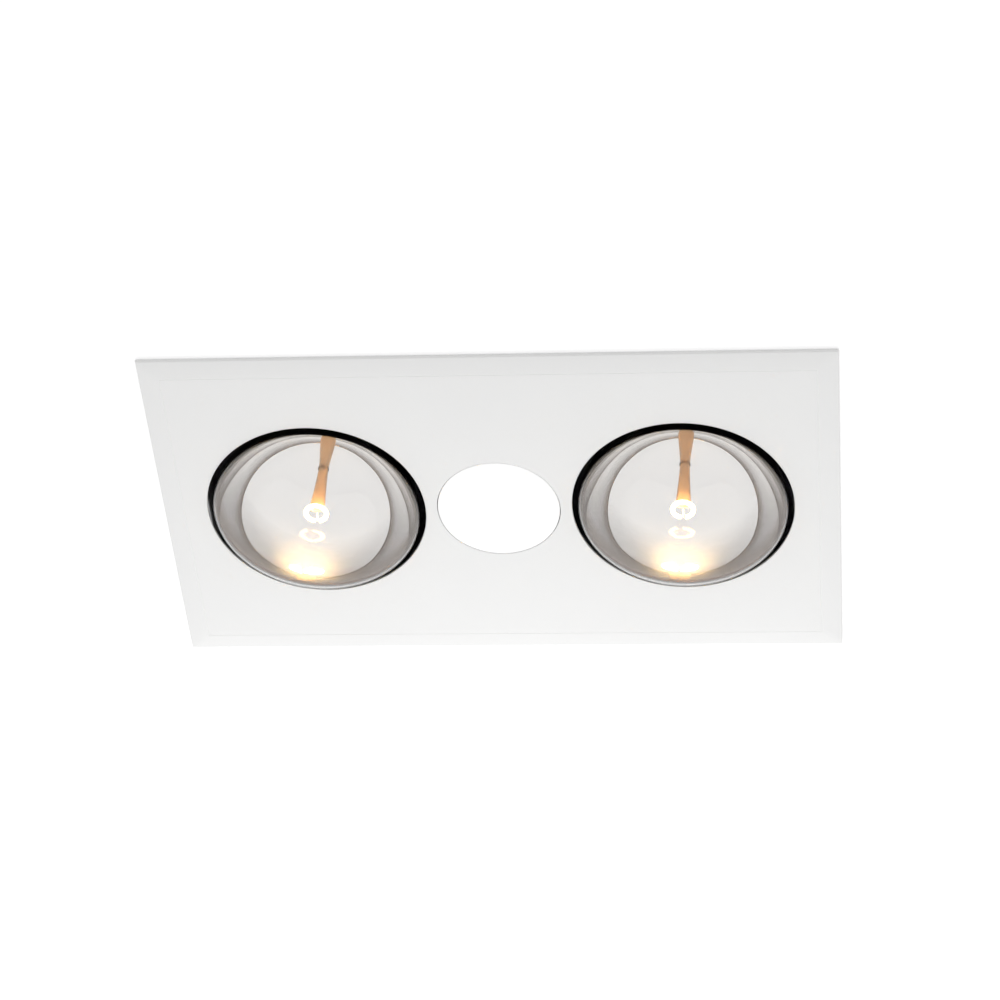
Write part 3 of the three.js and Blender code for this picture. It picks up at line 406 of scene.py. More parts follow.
def silvering():
    # vacuum-coated aluminium behind glass: a sharp mirror under a broader, softer glare, its colour painted
    # darker towards the rim as reflection shade
    look = newFinish("silvering", coating["colour"], coating["roughness"], 1.0, Coat_Weight=0.0)
    sharp = look.node_tree.nodes["Principled BSDF"].outputs[0]
    low, high = coating["heights"]
    height = addNode(look, "SeparateXYZ", Vector=objectPlace(look)).outputs["Z"]
    share = addNode(look, "MapRange", Value=height, i1=low * mm, i2=high * mm, i3=0.0, i4=1.0)
    # painted reflection shade: the mirror's colour runs by height from dark brown at the rim to near white
    # higher up
    paintedShade = addNode(look, "ValToRGB", Fac=share.outputs["Result"])
    ramp = paintedShade.color_ramp.elements  # it comes with a stop at each end
    for number, (place, colour) in enumerate(coating["reflectionShadeTints"]):
        stop = ramp[number] if number < 2 else ramp.new(place)
        stop.color = (*colour, 1)
    feed(look, paintedShade.outputs["Color"], "Base Color")
    waves = addGrain(look, coating["waveScale"], coating["waveHeight"], detail=1.0)
    colour = (*coating["glareColour"], 1)
    glare = addNode(look, "BsdfAnisotropic", Color=colour, Roughness=coating["glareRoughness"], Normal=waves)
    both = addNode(look, "MixShader", i0=coating["glareShare"], i1=sharp, i2=glare.outputs[0])
    feed(look, both.outputs[0], "Surface", "Material Output")
    return look


stemGlass = {
    "colour": (0.78, 0.47, 0.22),
    "darker": (0.62, 0.33, 0.13),
    "lighter": (0.90, 0.62, 0.36),
    "roughness": 0.16,
    "clear": 0.35,
    "ior": 1.5,
    "streakScale": 90.0,
    "streak": (1, 1, 0.15),
}


def amberGlass():
    # stem glass coloured by the filament's heat: brown streaks along it, partly clear
    clear = stemGlass["clear"]
    colour = stemGlass["colour"]
    rough = stemGlass["roughness"]
    look = newFinish("amberGlass", colour, rough, Transmission_Weight=clear, IOR=stemGlass["ior"])
    streak = stemGlass["streak"]
    addTone(look, stemGlass["darker"], stemGlass["lighter"], stemGlass["streakScale"], stretch=streak)
    return look


tungsten = {"colour": (1.0, 0.8, 0.4), "roughness": 0.5, "light": (1.0, 0.72, 0.36), "strength": 120.0}
metalGrain = {"tone": 90.0, "sheen": 180.0, "grain": 700.0, "height": 0.01, "metallic": 1.0}
mouldGrain = {"tone": 40.0, "sheen": 300.0, "grain": 1600.0, "height": 0.03, "metallic": 0.0}


def grained(grain, name, dark, light, low, high, streak=(1, 1, 1)):
    # tone, roughness and a fine bump each follow a noise of their own scale, drawn out along the streak
    look = newFinish(name, light, (low + high) / 2, grain["metallic"])
    addTone(look, dark, light, grain["tone"], stretch=streak)
    addSheenSpread(look, low, high, grain["sheen"], stretch=streak)
    addGrain(look, grain["grain"], grain["height"], stretch=streak)
    return look


def metal(*values):
    return grained(metalGrain, *values)


def moulded(*values):
    return grained(mouldGrain, *values)


white = satinWhite()
opal = opalWhite()
zinc = galvanised()
glass = newFinish("clearGlass", (1, 1, 1), 0.0, Transmission_Weight=1.0, IOR=1.47)
mirror = silvering()
scorch = newFinish("coatingEdge", coating["edgeColour"], coating["edgeRoughness"], coating["edgeMetallic"])
amber = amberGlass()
glow = glowing("hotTungsten", *tungsten.values())
springSteel = metal("springSteel", (0.42, 0.43, 0.45), (0.62, 0.63, 0.65), 0.25, 0.4, (1, 1, 6))
aluminium = metal("aluminium", (0.68, 0.69, 0.70), (0.80, 0.81, 0.82), 0.3, 0.42)
nickel = metal("nickel", (0.66, 0.62, 0.56), (0.80, 0.77, 0.71), 0.2, 0.34)
brass = metal("brass", (0.60, 0.42, 0.17), (0.78, 0.58, 0.27), 0.25, 0.4)
bronze = metal("bronze", (0.40, 0.27, 0.12), (0.56, 0.40, 0.20), 0.4, 0.55)
copper = metal("copperWinding", (0.45, 0.18, 0.08), (0.72, 0.34, 0.17), 0.3, 0.45, (1, 1, 30))
laminated = metal("laminations", (0.20, 0.21, 0.22), (0.38, 0.39, 0.41), 0.4, 0.6, (0.1, 0.1, 40))
greyPlastic = moulded("greyPlastic", (0.10, 0.11, 0.12), (0.14, 0.15, 0.16), 0.42, 0.58)
blackPlastic = moulded("blackPlastic", (0.012, 0.012, 0.013), (0.022, 0.022, 0.024), 0.38, 0.55)
palePlastic = moulded("palePlastic", (0.66, 0.65, 0.61), (0.72, 0.71, 0.67), 0.4, 0.55)
rubber = moulded("blackRubber", (0.014, 0.014, 0.014), (0.024, 0.024, 0.024), 0.6, 0.8)
ceramic = moulded("ceramic", (0.78, 0.75, 0.68), (0.85, 0.82, 0.76), 0.25, 0.4)
glaze = moulded("blackGlaze", (0.01, 0.009, 0.009), (0.02, 0.018, 0.017), 0.12, 0.22)
board = moulded("circuitBoard", (0.76, 0.78, 0.74), (0.83, 0.84, 0.81), 0.45, 0.6)
print("finishes ready")

nodesOfFinish = (
    (white, "fascia"),
    (opal, "led_lens"),
    (zinc, "housing led_bracket lampholder_bracket fan_bracket motor_can clamp_wing"),
    (glass, "lamp_glass"),
    (amber, "lamp_stem"),
    (glow, "lamp_filament"),
    (springSteel, "fascia_clip motor_shaft motor_screw flap_pin terminal_cover_screw clamp_screw"),
    (aluminium, "led_heat_sink"),
    (nickel, "lamp_cap"),
    (brass, "lampholder_sleeve lampholder_contact"),
    (bronze, "motor_bush"),
    (copper, "motor_coil"),
    (laminated, "motor_stator motor_rotor"),
    (greyPlastic, "fan_scroll fan_inlet_plate outlet_spigot"),
    (blackPlastic, "fan_impeller fan_disc outlet_flap terminal_block"),
    (palePlastic, "led_driver terminal_base terminal_cover"),
    (rubber, "cable_grommet"),
    (ceramic, "lampholder_body"),
    (glaze, "lamp_contact"),
    (board, "led_board"),
)
finishOfNode = {name: finish for finish, names in nodesOfFinish for name in names.split()}
for nodeName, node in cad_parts.items():
    # the longest key that the node's name begins with
    kind = max((key for key in finishOfNode if nodeName.startswith(key)), key=len)
    node.data.materials.clear()
    node.data.materials.append(finishOfNode[kind])


# Fascia: a shallow tray with a sloping border and three holes, as a grid of loops round each hole

fascia = {
    "border": 12.0,  # width of the sloping border
    "edge": 2.4,  # height of the upright edge
    "wall": 1.6,
    "lampHole": 132.0,
    "lightHole": 74.0,
    "lampSpacing": 220.0,
    "lampCell": 72.0,  # half the side of the square grid round a lamp hole
    "edgeRadius": 0.7,
    "creaseRadius": 1.2,
    "groove": (0.8, 0.22),  # width and depth of the fine line where the border meets the flat face
    "grooveRadius": 0.1,
    "hemRadius": 0.3,
    "flatRun": 6.0,  # width of the flat row beside the border
    "lipRun": 0.8,  # and beside each hole's lip
    "lipRadius": 0.5,
    "tongue": (8.0, 2.4, 24.0),  # length, thickness, height
    "tongueRoot": (0.4, 0.8),  # corner, depth into the wall
    # tapered tip: narrower by x and y, corner, depth below the top
    "tongueTip": ((0, 0, 0.4, 3.0), (1.5, 0.5, 0.4, 0.4), (2.0, 0.9, 0.2, 0)),
    "tonguePlace": (163.0, 88.0),
    "pointsAlongLampSide": 44,
    "pointsAlongLightSide": 24,
}


def makeFascia():
    low, high = sizeOf("fascia")
    halfX, halfY = high[:2]
    face = low[2]
    back = face + fascia["wall"]
    many = fascia["pointsAlongLampSide"]
    few = fascia["pointsAlongLightSide"]
    lampX = fascia["lampSpacing"] / 2
    lampCell = fascia["lampCell"]
    lightCell = lampX - lampCell
    grids = []
    # hole cells: rectangle outside, circle inside, then over the lip and back on the upper side
    for centreX, cellX, hole, xCount in (
        (-lampX, lampCell, fascia["lampHole"], many),
        (0.0, lightCell, fascia["lightHole"], few),
        (lampX, lampCell, fascia["lampHole"], many),
    ):
        corners = [(cellX, -lampCell), (cellX, lampCell), (-cellX, lampCell), (-cellX, -lampCell)]
        outer = alongSides(corners, (many, xCount, many, xCount))
        direction = outer / np.linalg.norm(outer, axis=1, keepdims=True)
        radius = hole / 2
        beside = radius + fascia["lipRun"]
        lipCorners = [(beside, face), (radius, face), (radius, back), (beside, back)]
        lip = filleted(lipCorners, fascia["lipRadius"])
        rows = [atHeight(direction * r, z) for r, z in lip]
        rows = np.array([atHeight(outer, face), *rows, atHeight(outer, back)])
        grids.append((rows + (centreX, 0, 0), 0))
    reach = lampX + lampCell
    loop = alongSides(
        [(reach, -lampCell), (reach, lampCell), (lightCell, lampCell), (-lightCell, lampCell),
         (-reach, lampCell), (-reach, -lampCell), (-lightCell, -lampCell), (lightCell, -lampCell)],
        (many, many, few, many, many, many, few, many),
    )
    unit = loop / (reach, lampCell)
    wall = fascia["wall"]
    edge = fascia["edge"]
    grooveWidth, grooveDepth = fascia["groove"]
    crease = fascia["border"]
    flat = crease + fascia["flatRun"]
    border = filleted(
        [(flat, face), (crease + grooveWidth, face), (crease + grooveWidth / 2, face + grooveDepth),
         (crease, face), (0, -edge), (0, 0), (wall, 0), (wall, wall - edge), (crease + wall, back),
         (flat, back)],
        [fascia["grooveRadius"]] * 3 + [fascia["edgeRadius"]] + [fascia["hemRadius"]] * 3
        + [fascia["creaseRadius"]],
    )
    rows = [atHeight(unit * (halfX - inset, halfY - inset), z) for inset, z in border]
    grids.append((np.array([atHeight(loop, face), *rows, atHeight(loop, back)]), 0))
    length, thickness, height = fascia["tongue"]
    corner, depth = fascia["tongueRoot"]
    levels = [(length / 2, thickness / 2, corner, back - depth)]
    for shorter, thinner, corner, depth in fascia["tongueTip"]:
        levels.append((length / 2 - shorter, thickness / 2 - thinner, corner, height - depth))
    for signX, signY in clockCorners:
        place = (signX * fascia["tonguePlace"][0], signY * fascia["tonguePlace"][1])
        grids.append((capped(stacked(levels, place)), 0))
    addPiece("fascia_panel", grids, [white], "fascia", ["fascia"])


makeFascia()
print("fascia ready")

# LED light's lens: an opal cup, turned about its axis

lens = {"wall": 1.6, "plate": 1.8, "edgeRadius": 0.6, "rimRadius": 0.4, "around": 128}


def makeLens():
    # the cup's section (radius, height) turned once around
    low, high = sizeOf("led_lens")
    outer = high[0]
    inner = outer - lens["wall"]
    roof = low[2] + lens["plate"]
    profile = filleted(
        [(0, low[2]), (outer, low[2]), (outer, high[2]), (inner, high[2]), (inner, roof), (0, roof)],
        [lens["edgeRadius"]] + [lens["rimRadius"]] * 3,
    )
    cup = turned(profile, lens["around"])
    addPiece("light_lens", [(cup, 0)], [opal], "housing", ["led_lens"])


makeLens()
print("light ready")

# Heat lamps

bulb = {
    "wall": 1.0,
    "dome": 16.0,  # depth of the clear front
    "bowl": 71.0,  # height of the silvered bowl
    "bowlShoulder": 27.0,
    "waistHeight": 49.0,
    "waist": 68.0,
    "neck": 40.0,
    "neckHeight": 30.0,
    "neckRadius": 6.0,
    "taper": 14.0,
    "end": 25.2,
    "around": 144,
    "domeRows": 40,
    "sideRows": 48,
    "sharp": 60,
    "mirrorTop": 33.0,  # apex of the silvered bowl inside
    "mirrorPower": 3.0,
    "mirrorCrown": 0.8,
    "mirrorHole": 3.4,  # radius at which it opens for the stem
    "mirrorRows": 100,
    "liningStart": 4.0,  # the neck's lining begins this far up the neck
    "scorchHeight": 1.6,  # next to the dome the coating ends in a thin brown band
}


def bulbFront(wall):
    # quarter ellipse for the dome; then the rim's radius and height and the neck's outline, all inset by wall
    low, high = sizeOf("lamp_glass_left")
    wide = (high[0] - low[0]) / 2 - wall
    shoulder = low[2] + bulb["dome"]
    t = np.linspace(0, np.pi / 2, bulb["domeRows"])
    dome = np.column_stack([wide * np.sin(t), shoulder - (bulb["dome"] - wall) * np.cos(t)])
    neck = bulb["neck"] / 2 - wall
    end = bulb["end"] / 2 - wall
    neckStart = shoulder + bulb["bowl"]
    neckTop = neckStart + bulb["neckHeight"]
    tail = [(neck, neckStart), (neck, neckTop), (end, neckTop + bulb["taper"]), (end, high[2])]
    return dome, wide, shoulder, tail


def bulbInside(wall):
    # bowl z = shoulder + depth (1 - (r / rim)^power)^crown, then the neck's lining
    dome, wide, shoulder, tail = bulbFront(wall)
    s = np.linspace(0, 1, bulb["mirrorRows"])
    r = bulb["mirrorHole"] + (wide - bulb["mirrorHole"]) * (1 - s ** 2)
    rise = (1 - (r / wide) ** bulb["mirrorPower"]) ** bulb["mirrorCrown"]
    bowl = np.column_stack([r, shoulder + (bulb["mirrorTop"] - shoulder) * rise])
    neck, neckStart = tail[0]
    lining = [(neck, neckStart + bulb["liningStart"])] + tail[1:]
    return dome, np.concatenate([bowl, lining])


def bulbSide(wall):
    # cubic Bezier curve for the bowl, then the neck and its taper
    dome, wide, shoulder, tail = bulbFront(wall)
    s = np.linspace(0, 1, bulb["sideRows"])[:, None]
    a = np.array([wide, shoulder])
    b = np.array([wide, shoulder + bulb["bowlShoulder"]])
    c = np.array([bulb["waist"] / 2 - wall, shoulder + bulb["waistHeight"]])
    d = np.array(tail[0])
    bowl = (1 - s) ** 3 * a + 3 * s * (1 - s) ** 2 * b + 3 * s ** 2 * (1 - s) * c + s ** 3 * d
    return dome, np.concatenate([bowl, filleted(tail, bulb["neckRadius"])[1:]])


def makeBulb(side, centreX):
    outerDome, outerBowl = bulbSide(0)
    innerDome, innerBowl = bulbInside(bulb["wall"])
    centre = (centreX, 0, 0)
    rim = np.array([outerBowl[-1], innerBowl[-1]])
    split = int(np.sum(innerBowl[:, 1] < innerBowl[0, 1] + bulb["scorchHeight"]))
    profiles = [(outerDome, 0), (innerDome, 0), (outerBowl, 1), (innerBowl[:split + 1], 2),
                (innerBowl[split:], 1), (rim, 0)]
    grids = [(turned(profile, bulb["around"], centre), kind) for profile, kind in profiles]
    sharp = bulb["sharp"]
    finishes = [glass, mirror, scorch]
    addPiece(f"bulb_{side}", grids, finishes, f"lamp_{side}", [f"lamp_glass_{side}"], sharp)


filament = {
    "ring": 12.4,
    "coil": 2.6,
    "wire": 0.7,
    "opening": 26.0,  # degrees
    "turns": 30,
    "pointsPerTurn": 14,
    "around": 6,
    "level": -6.0,
}
stem = {
    "press": [(2.4, 0.9, -3.4), (4.4, 1.3, -2.6), (4.4, 1.5, 2.0), (3.6, 1.7, 16.0), (2.8, 2.2, 34.0)],
    "tube": [(2.8, 38.0), (2.8, 58.0), (5.0, 80.0), (8.2, 104.0)],
    "cornerSteps": 6,
    "wire": 0.9,
    "supports": 3,
    "supportPoints": [(2.0, 1.5), (3.4, -0.4)],  # (distance out, rise above the press's foot)
    "supportArm": (-0.5, -0.9),  # the same for its outer end, from the ring
    "supportRadius": 1.2,
    "supportSteps": 5,
    "sharp": 50,
}


def makeFilament(side, centreX):
    # a helix of the coil's radius, wound round an open ring
    opening = math.radians(filament["opening"])
    count = filament["turns"] * filament["pointsPerTurn"]
    t = np.linspace(opening / 2, 2 * np.pi - opening / 2, count) + np.pi / 2
    phase = np.linspace(0, 2 * np.pi * filament["turns"], len(t))
    outwards = np.column_stack([np.cos(t), np.sin(t), 0 * t])
    upwards = np.array([0, 0, 1.0])
    away = np.cos(phase)[:, None] * outwards + np.sin(phase)[:, None] * upwards
    radius = filament["coil"] / 2 - filament["wire"] / 2
    path = filament["ring"] / 2 * outwards + radius * away + (centreX, 0, filament["level"])
    grid = capped(carried(path, away, filament["wire"] / 2, filament["around"]))
    standsFor = [f"lamp_filament_{side}"]
    addPiece(f"filament_coil_{side}", [(grid, 0)], [glow], f"lamp_{side}", standsFor)


def makeStem(side, centreX):
    # flattened glass press that widens down to the filament, its round tube above, and the coil's supports
    sections = stem["press"] + [(radius, radius, height) for radius, height in stem["tube"]]
    levels = [(halfX, halfY, halfY, height) for halfX, halfY, height in sections]
    grids = [(capped(stacked(levels, (centreX, 0), stem["cornerSteps"])), 0)]
    foot = stem["press"][0][2]
    ring = filament["ring"] / 2
    armOut, armRise = stem["supportArm"]
    points = stem["supportPoints"] + [(ring + armOut, armRise), (ring, filament["level"] - foot)]
    for angle in np.linspace(0, 2 * np.pi, stem["supports"], endpoint=False) + np.pi / 2:
        out = np.array([math.cos(angle), math.sin(angle), 0])
        corners = [out * reach + (0, 0, foot + rise) for reach, rise in points]
        path = filleted(corners, stem["supportRadius"], stem["supportSteps"]) + (centreX, 0, 0)
        across = np.broadcast_to(np.cross(out, (0, 0, 1.0)), path.shape)
        grids.append((capped(carried(path, across, stem["wire"] / 2)), 1))
    finishes = [amber, nickel]
    standsFor = [f"lamp_stem_{side}"]
    addPiece(f"stem_{side}", grids, finishes, f"lamp_{side}", standsFor, stem["sharp"])


for side, sign in (("left", -1), ("right", 1)):
    for make in (makeBulb, makeStem, makeFilament):
        make(side, sign * fascia["lampSpacing"] / 2)
print("lamps ready")

# Steel box above the ceiling, folded from sheet: roof, walls, flange, clamp ears and corner flaps

box = {
    "sheet": 0.8,
    "flangeReach": (21.0, 13.0),  # how far the flange stands out at the ends and at the sides
    "fold": 2.0,
    "corner": 2.2,
    "cornerSpread": 0.2,  # how much the corner's radius grows for each millimetre along the flange
    "pointsOnSide": 52,
    "roofStep": 6.0,
    "roofGap": 0.01,
    "besideFold": (6.0, 4.0),  # rows next to the folds of the walls and of the flange
    "hem": 1.0,
    # fillets of the side from the roof's fold to the flange, round its edge, and back up inside
    "outerRadii": [0.4, 0.4, 0.4, 0.4, 1.0, 0.4],
    "hemRadii": [0.2, 0.2, 0.2, 0.2],
    "innerRadii": [0.4, 1.8, 0.4, 0.4, 0.4, 0.4, 1.2],
    "window": ((16.0, 90.0, 83.5), (88.0, 99.0, 133.5)),  # behind the duct outlet's plate
    "wireHole": ((-90.0, -66.0, 170.0), (-78.0, -54.0, 181.0)),
    "ear": (6.5, 8.0, 50.0, 51.2),  # half length, half width, underside, top
    "earCorner": (1.6, 0.3),  # radius of the corners and of the edges
    "clampPlace": (182.5, 62.0),
    "clampHole": 2.8,
    "flap": (7.0, 85.0),  # half width and half height of the corner flaps riveted to the end walls
    "flapCorner": (2.0, 0.25),
    "flapPlace": (88.5, 90.0),
    "rivet": (2.3, 0.8),
    "rivetLevels": (20.0, 66.0, 112.0, 158.0),
}


def makeBox():
    # each row is the rounded rectangle grown by out, at its level; out follows the wall, then the flange
    low, high = sizeOf("housing")
    sheet = box["sheet"]
    reachX, reachY = box["flangeReach"]
    halfX = high[0] - reachX
    halfY = high[1] - reachY
    top = high[2]
    under = low[2]
    windowLow = box["window"][0][2]
    windowHigh = box["window"][1][2]
    unit = unitSquare(box["pointsOnSide"])
    run, foot = box["besideFold"]
    hem = reachX - box["hem"]
    side = filleted(
        [(-run, top), (0, top), (0, top - run), (0, windowHigh), (0, windowLow), (0, run), (0, 0), (foot, 0),
         (hem, 0), (reachX, 0), (reachX, under), (hem, under), (foot, under), (-sheet, under),
         (-sheet, run), (-sheet, windowLow), (-sheet, windowHigh), (-sheet, top - run), (-sheet, top - sheet),
         (-run, top - sheet)],
        [box["fold"]] + box["outerRadii"] + box["hemRadii"] + box["innerRadii"],
    )
    inwards = np.arange(halfY - box["roofGap"], run, -box["roofStep"])
    roof = [(-inset, top) for inset in inwards]
    ceiling = [(-inset, top - sheet) for inset in inwards[::-1]]
    rows = []
    for out, level in np.concatenate([roof, side, ceiling]):
        outY = out if out < 0 else out * reachY / reachX
        corner = box["corner"] + max(out, 0) * box["cornerSpread"]
        wide = halfX + out
        deep = halfY + outY
        rows.append(atHeight(cornered(unit, wide, deep, min(corner, deep)), level))
    grids = [(capped(rows), 0, box["window"], box["wireHole"])]
    earCorner, earEdge = box["earCorner"]
    clampX, clampY = box["clampPlace"]
    flapCorner, flapEdge = box["flapCorner"]
    flapY, flapZ = box["flapPlace"]
    headRadius, headHeight = box["rivet"]
    for signX, signY in clockCorners:
        place = (signX * clampX, signY * clampY, 0)
        earLength, earWidth, *earLevels = box["ear"]
        ear = plate(earLength, earWidth, earCorner, *earLevels, earEdge, "z", place, box["clampHole"])
        grids.append((ear, 0))
        wall = (signX * halfX, signY * flapY, flapZ)
        ends = (0, sheet) if signX > 0 else (-sheet, 0)
        grids.append((plate(*box["flap"], flapCorner, *ends, flapEdge, "x", wall), 0))
        for level in box["rivetLevels"]:
            centre = (signX * (halfX + sheet), signY * flapY, level)
            grids.append((dome(headRadius, signX * headHeight, "x", centre), 1))
    addPiece("steel_box", grids, [zinc, springSteel], "housing", ["housing"])


makeBox()
print("steel box ready")

# Duct outlet: plate, round pipe, raised flap seat and the ears for the flap's pin

outlet = {
    "centre": (52.0, 0.0, 108.5),
    "plateHalf": 54.5,
    "plateCorner": 7.0,
    "plateRim": (1.2, 0.3),  # rows of the rounded rim, in from the edge
    "face": 99.8,  # outer side of the plate
    "window": (29.0, 25.0),
    "seatWall": 2.0,
    "seatLevel": 101.6,
    "seatEdge": (0.3, 0.2),  # bevel of the seat's top, and the window's last row below it
    "seatCorners": (0.6, 0.8, 1.2, 1.4),
    "pipe": 48.5,
    "pipeWall": 1.5,
    "flatRun": 2.0,  # plate rows beside the pipe
    "pipeRun": 6.0,  # pipe rows beside the plate and the tip
    "pipeRadii": [0.8, 0.4, 0.5, 0.6, 0.8, 0.4, 0.4, 1.4],
    "tipTaper": 0.5,
    "tipLength": 5.0,
    "earMiddle": 33.05,
    "earThickness": 1.5,
    "earHalf": (2.7, 2.2),
    "earBack": 0.5,
    "earCorner": (1.6, 0.2),
    "pinPlace": (102.3, 138.2),
    "rivet": (2.6, 1.1),
    "rivetPlace": 46.5,
    "pointsOnSide": 40,
}


def makeOutlet():
    # rows run from the window over the seat to the pipe's bore, round its tip and back over the plate
    low, high = sizeOf("outlet_spigot")
    unit = unitSquare(outlet["pointsOnSide"])
    face = outlet["face"]
    back = low[1]
    tip = high[1]
    pipe = outlet["pipe"]
    bore = pipe - outlet["pipeWall"]
    windowU, windowV = outlet["window"]
    wall = outlet["seatWall"]
    seatTop = outlet["seatLevel"]
    bevel, drop = outlet["seatEdge"]
    boreCorner, nearCorner, farCorner, rootCorner = outlet["seatCorners"]
    seat = [(0, boreCorner, back), (0, boreCorner, seatTop - drop), (bevel, nearCorner, seatTop),
            (wall - bevel, farCorner, seatTop), (wall, rootCorner, seatTop - bevel), (wall, rootCorner, face)]
    rows = []
    for grow, corner, level in seat:
        rows.append(atHeight(cornered(unit, windowU + grow, windowV + grow, corner), level))
    shoulder = tip - outlet["tipLength"]
    flat = outlet["flatRun"]
    run = outlet["pipeRun"]
    pipeSide = filleted(
        [(bore - flat, face), (bore, face), (bore, shoulder), (bore, tip), (pipe - outlet["tipTaper"], tip),
         (pipe, shoulder), (pipe, shoulder - run), (pipe, face + run), (pipe, face), (pipe + flat, face)],
        outlet["pipeRadii"],
    )
    rows += [atHeight(circled(unit, radius), level) for radius, level in pipeSide]
    wideRim, rim = outlet["plateRim"]
    plateEdge = [(wideRim, face), (rim, face), (0, face - rim), (0, back)]
    half = outlet["plateHalf"]
    rows += insetRows(unit, half, half, outlet["plateCorner"], 0, plateEdge) + rows[:1]
    centre = outlet["centre"]
    grids = [(facing(rows, "y", centre), 0)]
    pinY, pinZ = outlet["pinPlace"]
    corner, edge = outlet["earCorner"]
    ends = (-outlet["earThickness"] / 2, outlet["earThickness"] / 2)
    for sign in (-1, 1):
        middle = (centre[0] + sign * outlet["earMiddle"], pinY - outlet["earBack"], pinZ)
        grids.append((plate(*outlet["earHalf"], corner, *ends, edge, "x", middle), 0))
    reach = outlet["rivetPlace"]
    for signX, signZ in clockCorners:
        place = (centre[0] + signX * reach, face, centre[2] + signZ * reach)
        grids.append((dome(*outlet["rivet"], "y", place), 1))
    addPiece("duct_outlet", grids, [greyPlastic, springSteel], "housing", ["outlet_spigot"])


makeOutlet()

# Backdraught flap: leaf with a stiffened border and a knuckle round its pin

leaf = {
    "half": (32.0, 28.35),
    "centre": (52.0, 0.0, 109.85),
    "back": 101.9,
    "thickness": 1.2,
    "edge": 0.3,
    "backFlat": 1.0,
    "corner": (2.5, 0.8),  # at the edge, and the least further in
    "ribInset": 5.0,
    "ribRise": 0.5,
    "ribSteps": (0.6, 2.4, 3.0, 5.0),  # from the rib's foot: its top, its far side, its foot, a flat row
    "pointsOnSide": 20,
    "knuckle": 2.2,
    "knuckleAround": 32,
    "bore": 1.35,
    "axis": (102.3, 138.2),
}


def makeLeaf():
    # rectangles inset row by row, with the rib as a raised pair of rows; the knuckle is turned about the pin
    unit = unitSquare(leaf["pointsOnSide"])
    halfU, halfV = leaf["half"]
    back = leaf["back"]
    front = back + leaf["thickness"]
    edge = leaf["edge"]
    rib = leaf["ribInset"]
    top = front + leaf["ribRise"]
    up, over, down, inside = (rib + step for step in leaf["ribSteps"])
    levels = [(leaf["backFlat"], back), (edge, back), (0, back + edge), (0, front - edge), (edge, front),
              (rib, front), (up, top), (over, top), (down, front), (inside, front)]
    rows = insetRows(unit, halfU, halfV, *leaf["corner"], levels)
    grids = [(facing(capped(rows), "y", leaf["centre"]), 0)]
    outer = leaf["knuckle"]
    bore = leaf["bore"]
    profile = [(bore, -halfU), (outer - edge, -halfU), (outer, edge - halfU), (outer, halfU - edge),
               (outer - edge, halfU), (bore, halfU), (bore, -halfU)]
    knuckle = turned(profile, leaf["knuckleAround"], (leaf["centre"][0], *leaf["axis"]), "x")
    grids.append((knuckle, 0))
    addPiece("backdraught_flap", grids, [blackPlastic], "flap", ["outlet_flap"])


makeLeaf()
print("outlet ready")

# Terminal box on the roof: open base, cover, cover screw and the rubber grommet of the cable entry

terminal = {
    "half": (42.0, 26.0),
    "centre": (-112.0, -60.0, 0.0),
    "wall": 1.6,
    "corner": (3.0, 0.6),  # outside, and the least inside
    "pointsOnSide": 30,
    "rowStep": 2.0,
    "rowEnds": (1.0, 2.0),  # the rows stop this far from the edges and from the middle or the floor
    "footEdge": 0.5,
    "rimEdge": (0.3, 0.2),
    "lidEdge": 0.6,
    "grommetHole": ((-155.0, -66.5, 187.8), (-151.0, -53.5, 200.8)),
    "wireHole": ((-89.5, -65.5, 180.0), (-78.5, -54.5, 182.2)),
    "post": (4.5, -78.0, -42.0),
    "postFoot": 0.8,
    "postRadii": [0.7, 0.4, 0.2],
    "postHole": (1.6, 8.0),  # radius, and height of its bottom above the floor
    "postAround": 40,
}


def makeTerminalBox():
    # rounded rectangles from the floor's middle under the walls, over their rim and down to the floor again
    low, high = sizeOf("terminal_base")
    coverLow, coverHigh = sizeOf("terminal_cover")
    unit = unitSquare(terminal["pointsOnSide"])
    halfU, halfV = terminal["half"]
    wall = terminal["wall"]
    corner, leastCorner = terminal["corner"]
    under = low[2]
    top = high[2]
    floor = under + wall
    step = terminal["rowStep"]
    nearEdge, nearMiddle = terminal["rowEnds"]
    steps = np.arange(under + nearMiddle, top - nearEdge, step)
    insets = np.arange(halfV - nearEdge, nearMiddle, -step)
    foot = terminal["footEdge"]
    rim, innerRim = terminal["rimEdge"]
    levels = [(inset, under) for inset in insets] + [(foot, under), (0, under + foot)]
    levels += [(0, level) for level in steps] + [(0, top - rim), (rim, top), (wall - innerRim, top)]
    levels += [(wall, top - rim)] + [(wall, level) for level in steps[::-1]] + [(wall, floor)]
    levels += [(inset, floor) for inset in insets[::-1]]
    rows = insetRows(unit, halfU, halfV, corner, leastCorner, levels)
    walls = capped(rows) + terminal["centre"]
    postRadius, postX, postY = terminal["post"]
    hole, holeFoot = terminal["postHole"]
    postSide = filleted(
        [(postRadius + terminal["postFoot"], floor), (postRadius, floor), (postRadius, top), (hole, top),
         (hole, floor + holeFoot)],
        terminal["postRadii"],
    )
    post = turned(postSide, terminal["postAround"], (postX, postY, 0))
    grids = [(walls, 0, terminal["grommetHole"], terminal["wireHole"]), (post, 0)]
    addPiece("terminal_box", grids, [palePlastic], "housing", ["terminal_base"])
    edge = terminal["lidEdge"]
    lid = plate(halfU, halfV, corner, coverLow[2], coverHigh[2], edge, "z", terminal["centre"])
    addPiece("terminal_lid", [(lid, 0)], [palePlastic], "housing", ["terminal_cover"])


grommet = {
    "bore": 4.0,
    "neck": 6.5,
    "flange": 9.0,
    "face": 8.0,
    "wallNear": 3.0,
    "wallFar": 5.2,
    "radii": [0.6, 0.9, 0.3, 0.1, 0.1, 0.3, 0.5, 0.4],
    "around": 72,
}


